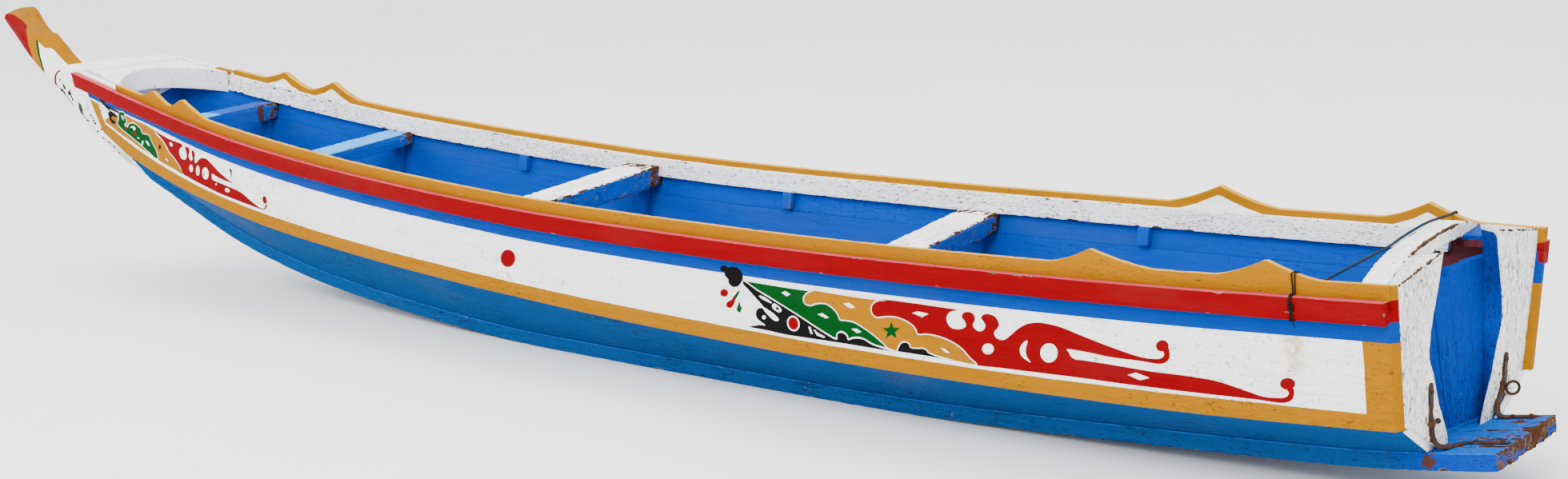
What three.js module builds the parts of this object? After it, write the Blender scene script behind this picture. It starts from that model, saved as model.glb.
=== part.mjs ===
// A painted plank-built fishing pirogue, standing on its heavy flat keel log.
// Millimetres, +X to the bow, +Y to port, +Z up; the origin is on the floor, under the middle of the length.

import * as THREE from "three";
import { mergeVertices } from "three/addons/utils/BufferGeometryUtils.js";

// Driving dimensions
const LENGTH = 8930; // from the aft end of the keel log to the tip of the prow
const STERN_X = 217; // aft end of the planking at the centreline
const STERN_SKEW = 27; // how far the port side ends forward of that, and the starboard side aft of it
const BOW_X = 7740; // forward end of the planking, where the prow timber starts
const GAP = 0.5; // joint between two pieces that touch
const BILGE_GAP = 3; // joint along the sloping inside of the bottom planks
const PLANK = 30; // thickness of the side planking
const BOTTOM_PLANK = 28;
const FLARE = 0.19; // how far the sides lean out, for each unit of height
const KEEL_DEPTH = 62;

// Hull sections: distance from the aft end of the keel log, half breadth and height of the gunwale,
// depth of the side from gunwale to chine, half breadth of the keel log, height of its underside.
const SECTIONS = [
  { x: 0, half: 578, top: 826, depth: 496, keelHalf: 276, keelZ: 166 },
  { x: 400, half: 608, top: 812, depth: 506, keelHalf: 278, keelZ: 111 },
  { x: 1100, half: 646, top: 787, depth: 512, keelHalf: 282, keelZ: 62 },
  { x: 2200, half: 668, top: 763, depth: 504, keelHalf: 288, keelZ: 8 },
  { x: 2800, half: 664, top: 757, depth: 497, keelHalf: 292, keelZ: 0 },
  { x: 3600, half: 644, top: 759, depth: 486, keelHalf: 292, keelZ: 0 },
  { x: 4300, half: 620, top: 773, depth: 476, keelHalf: 284, keelZ: 0 },
  { x: 5300, half: 572, top: 824, depth: 476, keelHalf: 258, keelZ: 46 },
  { x: 6100, half: 514, top: 888, depth: 480, keelHalf: 216, keelZ: 124 },
  { x: 6700, half: 462, top: 957, depth: 464, keelHalf: 172, keelZ: 236 },
  { x: 7200, half: 414, top: 1028, depth: 430, keelHalf: 131, keelZ: 382 },
  { x: 7740, half: 358, top: 1112, depth: 346, keelHalf: 92, keelZ: 556 },
];
const GRID_STEP = 155; // spacing of the hull's frames in these solids

// Lengths that the bottom planks and the two strakes are made of, butted under the two white thwarts
const BUTTS = [2450, 4330];
const PLANK_LENGTHS = [
  { name: "aft", to: BUTTS[0] },
  { name: "middle", from: BUTTS[0] + GAP, to: BUTTS[1] },
  { name: "fore", from: BUTTS[1] + GAP, to: BOW_X },
];

// Side layout, as depths below the gunwale
const RAIL = { top: 50, height: 70, out: 34, taper: 0.55, bowEnd: 7850 };
const CREST_BOTTOM = 80;
const SHEER_BOTTOM = 194;
const INWALE = { top: 24, bottom: 106, thick: 32, start: 508, end: 7360 };

// Carved points along the gunwale: place of the peak, height, and reach aft and forward
const CRESTS = {
  port: [
    { x: 1312, height: 58, aft: 250, fore: 170 },
    { x: 670, height: 62, aft: 190, fore: 190 },
    { x: 6971, height: 54, aft: 150, fore: 150 },
    { x: 6692, height: 66, aft: 220, fore: 160 },
  ],
  starboard: [
    { x: 1477, height: 74, aft: 275, fore: 240 },
    { x: 612, height: 62, aft: 210, fore: 190 },
    { x: 6980, height: 58, aft: 190, fore: 180 },
    { x: 6621, height: 66, aft: 210, fore: 170 },
  ],
};

// Crossing beams, from the bow: middle at the centreline, width along the boat, depth,
// depth of the top below the gunwale, and how far the starboard end stands forward of square
const THWARTS = [
  { x: 6960, width: 138, depth: 88, drop: 100, skew: 0.26 },
  { x: 5950, width: 172, depth: 66, drop: 88, skew: 0.28 },
  { x: 4330, width: 198, depth: 94, drop: 54, skew: 0.22 },
  { x: 2450, width: 184, depth: 82, drop: 102, skew: 0.2 },
];
const RIB = { width: 56, thick: 34 };
const CLEATS = [5230, 3600, 1780];
const CLEAT = { width: 52, thick: 38, height: 74 };

// Stern: each face across the boat stands at aft, plus skew for each unit to port, plus rake for each unit up
const CHEEK = { face: { aft: STERN_X, skew: 0.046, rake: 0 }, crown: 57, topHalf: 215, offCentre: 20 };
const CHEEK_INNER = [
  // half breadth of the curved inner edge, on the cheek's aft and forward faces, from the top down
  { z: 772, aft: 240, front: 330 },
  { z: 610, aft: 290, front: 298 },
  { z: 530, aft: 296, front: 282 },
  { z: 466, aft: 262, front: 270 },
  { z: 362, aft: 216, front: 250 },
  { z: 235, aft: 140, front: 212 },
];
const CHEEK_FOOT = { aft: 124, front: 160 };
const TRANSOM = { face: { aft: 264, skew: 0.15, rake: 0.14 }, thick: 30, top: 752 };
const CROSSBEAM = { face: { aft: 345, skew: -0.12, rake: 0 }, width: 90, depth: 56, crown: 60 };
const CORNER_BLOCK = { inner: 350, depth: 42 };

// Bow
const FOREDECK = { aftMiddle: 7640, aftSide: 7385, depth: 112, top: 14 };
const PROW = [
  // from the planking to the tip: ridge and shoulder on top, turn of the side, and underside
  { x: 7740.5, ridge: 1108, shoulder: 1104, half: 354, sideZ: 766, sideHalf: 292, z: 557, bottomHalf: 92 },
  { x: 7950, ridge: 1122, shoulder: 1116, half: 308, sideZ: 850, sideHalf: 238, z: 640, bottomHalf: 80 },
  { x: 8140, ridge: 1098, shoulder: 1088, half: 196, sideZ: 900, sideHalf: 150, z: 738, bottomHalf: 66 },
  { x: 8270, ridge: 1068, shoulder: 1062, half: 92, sideZ: 950, sideHalf: 84, z: 824, bottomHalf: 58 },
  { x: 8400, ridge: 1126, shoulder: 1116, half: 76, sideZ: 1020, sideHalf: 74, z: 914, bottomHalf: 54 },
  { x: 8500, ridge: 1236, shoulder: 1166, half: 72, sideZ: 1070, sideHalf: 70, z: 974, bottomHalf: 52 },
  { x: 8570, ridge: 1252, shoulder: 1202, half: 70, sideZ: 1120, sideHalf: 68, z: 1022, bottomHalf: 50 },
  { x: 8610, ridge: 1276, shoulder: 1230, half: 69, sideZ: 1150, sideHalf: 67, z: 1052, bottomHalf: 48 },
  { x: 8680, ridge: 1366, shoulder: 1280, half: 68, sideZ: 1200, sideHalf: 66, z: 1110, bottomHalf: 46 },
  { x: 8725, ridge: 1390, shoulder: 1306, half: 67, sideZ: 1230, sideHalf: 65, z: 1148, bottomHalf: 44 },
  { x: 8850, ridge: 1374, shoulder: 1346, half: 62, sideZ: 1310, sideHalf: 60, z: 1262, bottomHalf: 40 },
  { x: 8930, ridge: 1352, shoulder: 1344, half: 52, sideZ: 1336, sideHalf: 50, z: 1322, bottomHalf: 38 },
];
const RIDGE_HALF = 20;

// Ironwork and cordage
const STRAP = { width: 34, thick: 6 };
const RING = { radius: 23, wire: 4.5, at: [175.6, -315.6, 290], turned: 219 };
// Where each strap runs: half breadth and height down the cheek, half breadth at its bend, then place and
// half breadth along the log
const STRAPS = {
  port: {
    down: [[307, 441], [300, 350], [289, 272]],
    bend: [280, 262, 240],
    along: [[190, 186], [160, 148], [100, 140], [18, 138]],
  },
  starboard: {
    down: [[304, 417], [300, 330], [264, 264]],
    bend: [239, 222, 211],
    along: [[160, 216], [120, 230], [60, 236]],
  },
};
// A strap's bend from the cheek to the log: back from the cheek, above the log, and turned from upright
const STRAP_BEND = [
  { back: 3, above: 48, turned: 15 },
  { back: 10, above: 22, turned: 40 },
  { back: 24, above: 9, turned: 72 },
];
const ROPE_RADIUS = 5;
// Places of the lashing, of the line's start inside the port board, and of its end over the starboard board
const ROPE = { lashing: 572, start: 588, end: 514 };

// Finishes
const PAINT = {
  yellow: [0xf5b30a, 0.5],
  red: [0xc8102e, 0.5],
  blue: [0x1a7fd0, 0.55],
  deepBlue: [0x0f5f94, 0.6],
  white: [0xe9e9e6, 0.6],
};
const painted = ([color, roughness]) => new THREE.MeshStandardMaterial({ color, roughness, metalness: 0 });
const IRON = () => new THREE.MeshStandardMaterial({ color: 0x5b3a2a, roughness: 0.8, metalness: 0.6 });
const CORD = () => new THREE.MeshStandardMaterial({ color: 0x4b6b78, roughness: 0.9, metalness: 0 });

const boat = new THREE.Group();
boat.position.x = -LENGTH / 2;

// Curves of the hull

// A smooth line through one column of the sections, flat wherever two neighbouring values are equal.
function smoothLine(column) {
  const at = SECTIONS.map((s) => s.x);
  const value = SECTIONS.map((s) => s[column]);
  const rise = at.slice(1).map((x, i) => (value[i + 1] - value[i]) / (x - at[i]));
  const slope = at.map((_, i) => {
    const before = rise[Math.max(i - 1, 0)];
    const after = rise[Math.min(i, rise.length - 1)];
    if (before * after <= 0) return 0;
    return Math.sign(before) * Math.min(Math.abs(before + after) / 2, 3 * Math.abs(before), 3 * Math.abs(after));
  });
  return (x) => {
    const i = THREE.MathUtils.clamp(at.findLastIndex((a) => a <= x), 0, at.length - 2);
    const span = at[i + 1] - at[i];
    const t = (x - at[i]) / span;
    const [a, b] = [value[i], value[i + 1]];
    const [u, v] = [slope[i] * span, slope[i + 1] * span];
    return a + t * (u + t * (3 * (b - a) - 2 * u - v + t * (2 * (a - b) + u + v)));
  };
}

// Frame places along the hull; every long piece bends at these, so that faces which touch stay parallel.
const FRAMES = [];
for (let x = 0; x < BOW_X - GRID_STEP / 2; x += GRID_STEP) FRAMES.push(x);
FRAMES.push(BOW_X);

// The same smooth line, straight between the frames.
function frameLine(column) {
  const smooth = smoothLine(column);
  const value = FRAMES.map(smooth);
  return (x) => {
    const i = THREE.MathUtils.clamp(FRAMES.findLastIndex((f) => f <= x), 0, FRAMES.length - 2);
    return THREE.MathUtils.mapLinear(x, FRAMES[i], FRAMES[i + 1], value[i], value[i + 1]);
  };
}
const gunwaleHalf = frameLine("half");
const gunwaleZ = frameLine("top");
const sideDepth = frameLine("depth");
const keelHalf = frameLine("keelHalf");
const keelZ = frameLine("keelZ");
const chineZ = (x) => gunwaleZ(x) - sideDepth(x);
const keelTop = (x) => keelZ(x) + KEEL_DEPTH;
const sternEnd = (side) => STERN_X + side * STERN_SKEW;
// Half breadth of the side at a height, the given distance inside its outer face
const sideHalf = (x, z, inset = 0) => gunwaleHalf(x) - FLARE * (gunwaleZ(x) - z) - inset;

// Places between two ends where a long piece has a section: the frames, its ends and any extra ones
function placesBetween(from, to, extra = []) {
  const inside = [...FRAMES, ...extra].filter((x) => x > from + 1 && x < to - 1);
  return [from, ...new Set(inside), to].sort((a, b) => a - b);
}

// Solids

// The solid through a row of rings of [x, y, z] points, all with the same number of points, closed at both ends.
function loft(rings) {
  const count = rings[0].length;
  const points = rings.flat();
  const faces = [];
  for (let r = 0; r + 1 < rings.length; r += 1) {
    for (let i = 0; i < count; i += 1) {
      const a = r * count + i;
      const b = r * count + ((i + 1) % count);
      faces.push([a, b, b + count], [a, b + count, a + count]);
    }
  }
  for (const [start, reversed] of [[0, true], [(rings.length - 1) * count, false]]) {
    const cap = capFaces(points.slice(start, start + count));
    cap.forEach((f) => faces.push((reversed ? [...f].reverse() : f).map((i) => i + start)));
  }
  return closed(points, faces);
}

// Triangles over one ring, seen along the axis that it faces most, in the ring's own turning direction.
function capFaces(ring) {
  const normal = [0, 0, 0];
  ring.forEach((p, i) => {
    const q = ring[(i + 1) % ring.length];
    for (let k = 0; k < 3; k += 1) {
      const [m, n] = [(k + 1) % 3, (k + 2) % 3];
      normal[k] += p[m] * q[n] - p[n] * q[m];
    }
  });
  const axis = normal.map(Math.abs).indexOf(Math.max(...normal.map(Math.abs)));
  const flat = ring.map((p) => new THREE.Vector2(p[(axis + 1) % 3], p[(axis + 2) % 3]));
  const faces = THREE.ShapeUtils.triangulateShape(flat, []);
  const turn = (f) => {
    const [a, b, c] = f.map((i) => flat[i]);
    return (b.x - a.x) * (c.y - a.y) - (b.y - a.y) * (c.x - a.x);
  };
  return faces.map((f) => (turn(f) * normal[axis] < 0 ? [...f].reverse() : f));
}

// Geometry of a closed surface, turned so that its faces point out.
function closed(points, faces) {
  const v = points.map((p) => new THREE.Vector3(...p));
  const volume = faces.reduce((sum, [a, b, c]) => sum + v[a].dot(v[b].clone().cross(v[c])), 0);
  const index = volume < 0 ? faces.map(([a, b, c]) => [a, c, b]) : faces;
  const geometry = new THREE.BufferGeometry();
  geometry.setAttribute("position", new THREE.Float32BufferAttribute(points.flat(), 3));
  geometry.setIndex(index.flat());
  return mergeVertices(geometry, 1e-3);
}

function add(name, geometry, material) {
  const mesh = new THREE.Mesh(geometry, material);
  mesh.name = name;
  boat.add(mesh);
}

// Both hands of a piece: make(side) gives the geometry, with side 1 to port and -1 to starboard.
function addPair(name, make, material) {
  add(`${name}_port`, make(1), material());
  add(`${name}_starboard`, make(-1), material());
}

// A board on the ship's side between two heights, between two insets from the outer face of the planking.
function sideBoard({ from, to, top, bottom, outer, inner, extra }, side) {
  const rings = placesBetween(from ?? sternEnd(side), to, extra).map((x) => {
    const corner = (z, inset) => [x, side * sideHalf(x, z, inset), z];
    return [corner(top(x), outer), corner(top(x), inner), corner(bottom(x), inner), corner(bottom(x), outer)];
  });
  return loft(rings);
}

// Height that the carved points add to the gunwale
function crestHeight(x, points) {
  const heights = points.map((p) => {
    const reach = x < p.x ? p.aft : p.fore;
    const t = Math.abs(x - p.x) / reach;
    return t < 1 ? p.height * (1 - t) ** 1.5 : 0;
  });
  return Math.max(...heights);
}

// Places where the carved points need a section of their own
function crestPlaces(points) {
  const shares = [0, 0.12, 0.3, 0.55, 0.8, 1];
  return points.flatMap((p) => shares.flatMap((s) => [p.x - s * p.aft, p.x + s * p.fore]));
}

// Planking

const bottomOuterHalf = (x) => sideHalf(x, chineZ(x), 14);
const keelSeatHalf = (x) => keelHalf(x) - 4;
// Breadth of the bottom plank's level upper and lower faces
function bottomFaceBreadth(x) {
  const across = bottomOuterHalf(x) - keelSeatHalf(x);
  const up = chineZ(x) - keelTop(x);
  return (BOTTOM_PLANK * Math.hypot(across, up)) / up;
}
// Half breadth of the bottom plank's inner face at a height, drawn in by a gap
function bottomInnerHalf(x, z, gap) {
  const share = (z - keelTop(x)) / (chineZ(x) - keelTop(x));
  const outer = THREE.MathUtils.lerp(keelSeatHalf(x), bottomOuterHalf(x), share);
  return outer - bottomFaceBreadth(x) - gap;
}

function bottomPlank(side, { from, to }) {
  const rings = placesBetween(from ?? sternEnd(side), to).map((x) => {
    const [low, high] = [keelTop(x) + GAP, chineZ(x) - GAP];
    const breadth = bottomFaceBreadth(x);
    return [
      [x, side * bottomOuterHalf(x), high],
      [x, side * (bottomOuterHalf(x) - breadth), high],
      [x, side * Math.max(keelSeatHalf(x) - breadth, 4), low],
      [x, side * keelSeatHalf(x), low],
    ];
  });
  return loft(rings);
}

function crestBoard(side, points) {
  return sideBoard(
    {
      to: INWALE.end,
      top: (x) => gunwaleZ(x) + crestHeight(x, points),
      bottom: (x) => gunwaleZ(x) - CREST_BOTTOM,
      outer: 0,
      inner: PLANK,
      extra: crestPlaces(points),
    },
    side,
  );
}

// Forward of the crest boards the sheer strake carries on up to the deck.
const sheerTop = (x) => gunwaleZ(x) - (x > INWALE.end + 1 ? FOREDECK.top : CREST_BOTTOM + GAP);
const sheerStrake = {
  extra: [INWALE.end + 1, INWALE.end + 2],
  top: sheerTop,
  bottom: (x) => gunwaleZ(x) - Math.min(SHEER_BOTTOM, 0.44 * sideDepth(x)),
  outer: 0,
  inner: PLANK,
};
const sideStrake = {
  extra: [INWALE.end + 1, INWALE.end + 2],
  top: (x) => sheerStrake.bottom(x) - GAP,
  bottom: chineZ,
  outer: 0,
  inner: PLANK,
};
// The rub rail climbs towards the gunwale at the bow.
const railTop = (x) => gunwaleZ(x) - RAIL.top * (1 - RAIL.taper * THREE.MathUtils.smoothstep(x, 6000, BOW_X));
const rubRail = {
  to: RAIL.bowEnd,
  top: railTop,
  bottom: (x) => railTop(x) - RAIL.height,
  outer: -RAIL.out,
  inner: -GAP,
};
const inwale = {
  from: INWALE.start,
  to: INWALE.end,
  top: (x) => gunwaleZ(x) - INWALE.top,
  bottom: (x) => gunwaleZ(x) - INWALE.bottom,
  outer: PLANK + GAP,
  inner: PLANK + INWALE.thick,
};

PLANK_LENGTHS.forEach(({ name, from, to }) => {
  addPair(`bottom_plank_${name}`, (side) => bottomPlank(side, { from, to }), () => painted(PAINT.deepBlue));
  addPair(`side_strake_${name}`, (side) => sideBoard({ ...sideStrake, from, to }, side), () => painted(PAINT.white));
  addPair(`sheer_strake_${name}`, (side) => sideBoard({ ...sheerStrake, from, to }, side), () => painted(PAINT.blue));
});
add("crest_board_port", crestBoard(1, CRESTS.port), painted(PAINT.yellow));
add("crest_board_starboard", crestBoard(-1, CRESTS.starboard), painted(PAINT.yellow));
addPair("rub_rail", (side) => sideBoard(rubRail, side), () => painted(PAINT.red));
addPair("inwale", (side) => sideBoard(inwale, side), () => painted(PAINT.white));

// Keel log and prow

function keelLog() {
  const rings = placesBetween(0, BOW_X).map((x) => [
    [x, keelHalf(x), keelTop(x)],
    [x, -keelHalf(x), keelTop(x)],
    [x, -keelHalf(x), keelZ(x)],
    [x, keelHalf(x), keelZ(x)],
  ]);
  return loft(rings);
}
add("keel_log", keelLog(), painted(PAINT.deepBlue));

function prow() {
  const rings = PROW.map((s) => {
    const halfRing = [
      [RIDGE_HALF, s.ridge],
      [s.half, s.shoulder],
      [s.sideHalf, s.sideZ],
      [s.bottomHalf, s.z],
    ];
    const port = halfRing.map(([y, z]) => [s.x, y, z]);
    const starboard = [...halfRing].reverse().map(([y, z]) => [s.x, -y, z]);
    return [...port, ...starboard];
  });
  return loft(rings);
}
add("prow", prow(), painted(PAINT.white));

// Beams across the hull

// A beam's section across the boat, cut to the planking and, above the inwale's bottom, to the inwale.
function beamRing(x, thwart) {
  const top = gunwaleZ(thwart.x) - thwart.drop;
  const low = top - thwart.depth;
  const ends = [1, -1].map((side) => {
    const place = x - side * thwart.skew * sideHalf(thwart.x, top);
    const ledge = gunwaleZ(place) - INWALE.bottom - GAP;
    const corner = (z, inset) => {
      const half = sideHalf(place, z, inset);
      return [place, side * half, z];
    };
    const shelf = Math.min(ledge, top);
    return [
      corner(top, PLANK + INWALE.thick + GAP),
      corner(shelf, PLANK + INWALE.thick + GAP),
      corner(shelf - 1, PLANK + GAP),
      corner(low, PLANK + GAP),
    ];
  });
  return [...ends[0], ...ends[1].reverse()];
}

function thwart(size) {
  const rings = [-0.5, 0.5].map((share) => beamRing(size.x + share * size.width, size));
  return loft(rings);
}

// An upright on the inside of the planking, between two heights
function upright(x, side, width, thick, top, bottom) {
  const ring = (place) => {
    const corner = (z, inset) => [place, side * sideHalf(place, z, inset), z];
    const [high, low] = [top(place), bottom(place)];
    return [
      corner(high, PLANK + GAP),
      corner(high, PLANK + thick),
      corner(low, PLANK + thick),
      corner(low, PLANK + GAP),
    ];
  };
  return loft(placesBetween(x - width / 2, x + width / 2).map(ring));
}

THWARTS.forEach((size, i) => {
  const number = i + 1;
  add(`thwart_${number}`, thwart(size), painted(number > 2 ? PAINT.white : PAINT.blue));
  const under = gunwaleZ(size.x) - size.drop - size.depth - GAP;
  const rib = (side) => {
    const x = size.x - side * size.skew * sideHalf(size.x, under);
    return upright(x, side, RIB.width, RIB.thick, () => under, (place) => chineZ(place) + 2);
  };
  addPair(`rib_${number}`, rib, () => painted(PAINT.blue));
});

CLEATS.forEach((x, i) => {
  const top = (place) => gunwaleZ(place) - INWALE.bottom - GAP;
  const cleat = (side) => upright(x, side, CLEAT.width, CLEAT.thick, top, (place) => top(place) - CLEAT.height);
  addPair(`cleat_${i + 1}`, cleat, () => painted(PAINT.blue));
});

// Stern

// A face across the stern, as its place along the boat at a half breadth and height
const faceOf = ({ aft, skew, rake }, ahead = 0) => (y, z) => aft + ahead + skew * y + rake * (z - keelTop(STERN_X));
const cheekAft = faceOf(CHEEK.face);
const transomAft = faceOf(TRANSOM.face);
const transomFront = faceOf(TRANSOM.face, TRANSOM.thick);
const crossbeamAft = faceOf(CROSSBEAM.face);
const crossbeamFront = faceOf(CROSSBEAM.face, CROSSBEAM.width);
const cheekFront = (y, z) => Math.min(transomAft(y, z), crossbeamAft(y, z)) - GAP;

// The point where such a face meets a line along the hull, given by its half breadth and height at each place
function meet(face, side, half, height) {
  let x = STERN_X;
  for (let i = 0; i < 9; i += 1) x = face(side * half(x), height(x));
  return [x, side * half(x), height(x)];
}

// The outer edge of a piece across the stern, from the keel log up to a height, inside the planking
function sternEdge(face, side, top) {
  const floor = (x) => keelTop(x) + GAP;
  const chine = (x) => chineZ(x) + GAP;
  return [
    meet(face, side, (x) => bottomInnerHalf(x, floor(x), BILGE_GAP), floor),
    meet(face, side, (x) => bottomInnerHalf(x, chineZ(x), BILGE_GAP), chine),
    meet(face, side, (x) => sideHalf(x, chineZ(x), PLANK + GAP), chine),
    meet(face, side, (x) => sideHalf(x, top(x), PLANK + GAP), top),
  ];
}

const sternTop = (x) => gunwaleZ(x) - 4;

function cheek(side) {
  const faces = [[cheekAft, "aft"], [cheekFront, "front"]];
  const rings = faces.map(([face, column]) => {
    const inner = CHEEK_INNER.map((p) => {
      const half = p[column] + side * CHEEK.offCentre;
      return [face(side * half, p.z), side * half, p.z];
    });
    const foot = meet(face, side, () => CHEEK_FOOT[column] + side * CHEEK.offCentre, (x) => keelTop(x) + GAP);
    const crownHalf = column === "aft" ? CHEEK.topHalf + side * CHEEK.offCentre : CHEEK_INNER[0].front;
    const crown = meet(face, side, () => crownHalf, (x) => crossbeamTop(x, crownHalf / 566));
    return [...sternEdge(face, side, sternTop), crown, ...inner, foot];
  });
  return loft(rings);
}

function transom() {
  const rings = [transomAft, transomFront].map((face) => {
    const [port, starboard] = [1, -1].map((side) => sternEdge(face, side, () => TRANSOM.top));
    return [...port, ...starboard.reverse()];
  });
  return loft(rings);
}

// Top of the crowned beam, at a share of the way from the middle to the side
const crossbeamTop = (x, share) => sternTop(x) + CROSSBEAM.crown * (1 - Math.abs(share) ** 3);

function crossbeam() {
  const shares = [-1, -0.75, -0.45, -0.2, 0, 0.2, 0.45, 0.75, 1];
  const rings = shares.map((share) => {
    const side = Math.sign(share) || 1;
    const corner = (face, drop) => {
      const half = (x) => Math.abs(share) * sideHalf(x, sternTop(x) - drop, PLANK + GAP);
      return meet(face, side, half, (x) => crossbeamTop(x, share) - drop);
    };
    return [
      corner(crossbeamAft, 0),
      corner(crossbeamFront, 0),
      corner(crossbeamFront, CROSSBEAM.depth),
      corner(crossbeamAft, CROSSBEAM.depth),
    ];
  });
  return loft(rings);
}

// A block in the starboard corner, between the cheek and the beam
function cornerBlock() {
  const front = (y, z) => crossbeamAft(y, z) - GAP;
  const rings = [transomAft, front].map((face) => {
    const outer = (drop) => (x) => sideHalf(x, sternTop(x) - drop, PLANK + GAP);
    const level = (drop) => (x) => sternTop(x) - drop;
    return [
      meet(face, -1, outer(0), level(0)),
      meet(face, -1, () => CORNER_BLOCK.inner, level(0)),
      meet(face, -1, () => CORNER_BLOCK.inner, level(CORNER_BLOCK.depth)),
      meet(face, -1, outer(CORNER_BLOCK.depth), level(CORNER_BLOCK.depth)),
    ];
  });
  return loft(rings);
}
addPair("cheek", cheek, () => painted(PAINT.white));
add("transom", transom(), painted(PAINT.blue));
add("crossbeam", crossbeam(), painted(PAINT.white));
add("corner_block", cornerBlock(), painted(PAINT.blue));

// Foredeck: a solid breasthook with a hollow aft edge that carries on the line of the inwales

function foredeck() {
  const front = BOW_X - GAP;
  const steps = 12;
  const deck = (x) => gunwaleZ(x) - FOREDECK.top;
  const underside = (x) => deck(x) - FOREDECK.depth;
  const reach = sideHalf(FOREDECK.aftSide, underside(FOREDECK.aftSide), PLANK + GAP) - 2;
  const rings = [];
  for (let i = -steps; i <= steps; i += 1) {
    const y = (reach * i) / steps;
    const hollow = Math.cos((Math.PI / 2) * (y / reach)) ** 0.8;
    const aft = THREE.MathUtils.lerp(FOREDECK.aftSide, FOREDECK.aftMiddle, hollow);
    const low = underside(aft);
    const tip = Math.max(foremost(Math.abs(y), low, front), aft + 2);
    rings.push([
      [aft, y, deck(aft)],
      [tip, y, deck(tip)],
      [tip, y, low],
      [aft, y, low],
    ]);
  }
  return loft(rings);
}

// The foremost place where the inside of the planking still clears a half breadth at a height
function foremost(half, z, front) {
  let x = front;
  while (x > FOREDECK.aftSide && sideHalf(x, z, PLANK + GAP) < half) x -= 1;
  return x;
}
add("foredeck", foredeck(), painted(PAINT.white));

// Ironwork on the keel log's aft end

// A flat iron along a path of rows { at, out }: the middle of its inner face, and the way that this face looks away from
function flatIron(path) {
  const at = path.map((p) => new THREE.Vector3(...p.at));
  const rings = path.map((p, i) => {
    const along = at[Math.min(i + 1, at.length - 1)].clone().sub(at[Math.max(i - 1, 0)]).normalize();
    const out = new THREE.Vector3(...p.out);
    out.addScaledVector(along, -out.dot(along)).normalize();
    const across = along.clone().cross(out);
    const corners = [[-0.5, 0], [0.5, 0], [0.5, 1], [-0.5, 1]];
    return corners.map(([width, thick]) => {
      const corner = at[i].clone().addScaledVector(across, width * STRAP.width);
      return corner.addScaledVector(out, thick * STRAP.thick).toArray();
    });
  });
  return loft(rings);
}

const logSlope = (x) => (keelTop(x - 5) - keelTop(x + 5)) / 10;

function strap(side, { down, bend, along }) {
  const cheekFace = (half, z) => [cheekAft(side * half, z) - 2 * GAP, side * half, z];
  const bendRow = ({ back, above, turned }, half) => {
    const angle = (turned * Math.PI) / 180;
    const x = cheekAft(side * half, 0) - back;
    return { at: [x, side * half, keelTop(x) + above], out: [-Math.cos(angle), 0, Math.sin(angle)] };
  };
  return flatIron([
    ...down.map(([half, z]) => ({ at: cheekFace(half, z), out: [-1, 0, 0] })),
    ...STRAP_BEND.map((row, i) => bendRow(row, bend[i])),
    ...along.map(([x, half]) => ({ at: [x, side * half, keelTop(x) + 2 * GAP], out: [logSlope(x), 0, 1] })),
  ]);
}
add("strap_port", strap(1, STRAPS.port), IRON());
add("strap_starboard", strap(-1, STRAPS.starboard), IRON());

const ring = new THREE.Mesh(new THREE.TorusGeometry(RING.radius, RING.wire, 8, 20), IRON());
ring.name = "strap_ring";
ring.position.set(...RING.at);
ring.rotation.set(Math.PI / 2, 0, (RING.turned * Math.PI) / 180, "ZXY");
boat.add(ring);

// Cordage

// A round cord through a row of points, with a step for each stretch of at most a few diameters
function cord(points, sides = 8) {
  const at = points.map((p) => new THREE.Vector3(...p));
  const route = at.flatMap((p, i) => {
    if (i === 0) return [p];
    const count = Math.ceil(p.distanceTo(at[i - 1]) / (6 * ROPE_RADIUS));
    return Array.from({ length: count }, (_, k) => at[i - 1].clone().lerp(p, (k + 1) / count));
  });
  const path = new THREE.CatmullRomCurve3(route, false, "centripetal");
  path.getUtoTmapping = (u) => u;
  const section = new THREE.Shape();
  for (let i = 0; i < sides; i += 1) {
    const turn = (2 * Math.PI * i) / sides;
    const [x, y] = [ROPE_RADIUS * Math.cos(turn), ROPE_RADIUS * Math.sin(turn)];
    if (i === 0) section.moveTo(x, y);
    else section.lineTo(x, y);
  }
  const tube = new THREE.ExtrudeGeometry(section, {
    steps: route.length - 1,
    extrudePath: path,
    bevelEnabled: false,
  });
  tube.deleteAttribute("normal");
  tube.deleteAttribute("uv");
  return mergeVertices(tube, 1e-3);
}

// Part of a cord's turn over the side at one place, round corners of { inset, z } from one angle to another
function turnAround(x, side, corners) {
  const clear = ROPE_RADIUS + 2 * GAP;
  return corners.flatMap(({ inset, z, from, to }) => {
    const angles = from === to ? [from] : [from, (from + to) / 2, to];
    return angles.map((degrees) => {
      const angle = (degrees * Math.PI) / 180;
      const height = z + clear * Math.sin(angle);
      return [x, side * (sideHalf(x, height, inset) + clear * Math.cos(angle)), height];
    });
  });
}

function railLashing() {
  const x = ROPE.lashing;
  const top = gunwaleZ(x) + crestHeight(x, CRESTS.port);
  const [high, low] = [railTop(x), railTop(x) - RAIL.height];
  const ledge = gunwaleZ(x) - INWALE.top;
  const inwaleFace = PLANK + INWALE.thick;
  return turnAround(x, 1, [
    { inset: -12, z: low, from: -90, to: -90 },
    { inset: -RAIL.out, z: low, from: -90, to: 0 },
    { inset: -RAIL.out, z: high, from: 0, to: 90 },
    { inset: -3, z: high + 3, from: 45, to: 45 },
    { inset: 0, z: top, from: 0, to: 90 },
    { inset: PLANK, z: top, from: 90, to: 180 },
    { inset: PLANK + 3, z: ledge + 3, from: 135, to: 135 },
    { inset: inwaleFace, z: ledge, from: 90, to: 180 },
    { inset: inwaleFace, z: gunwaleZ(x) - 70, from: 180, to: 180 },
  ]);
}

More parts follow.
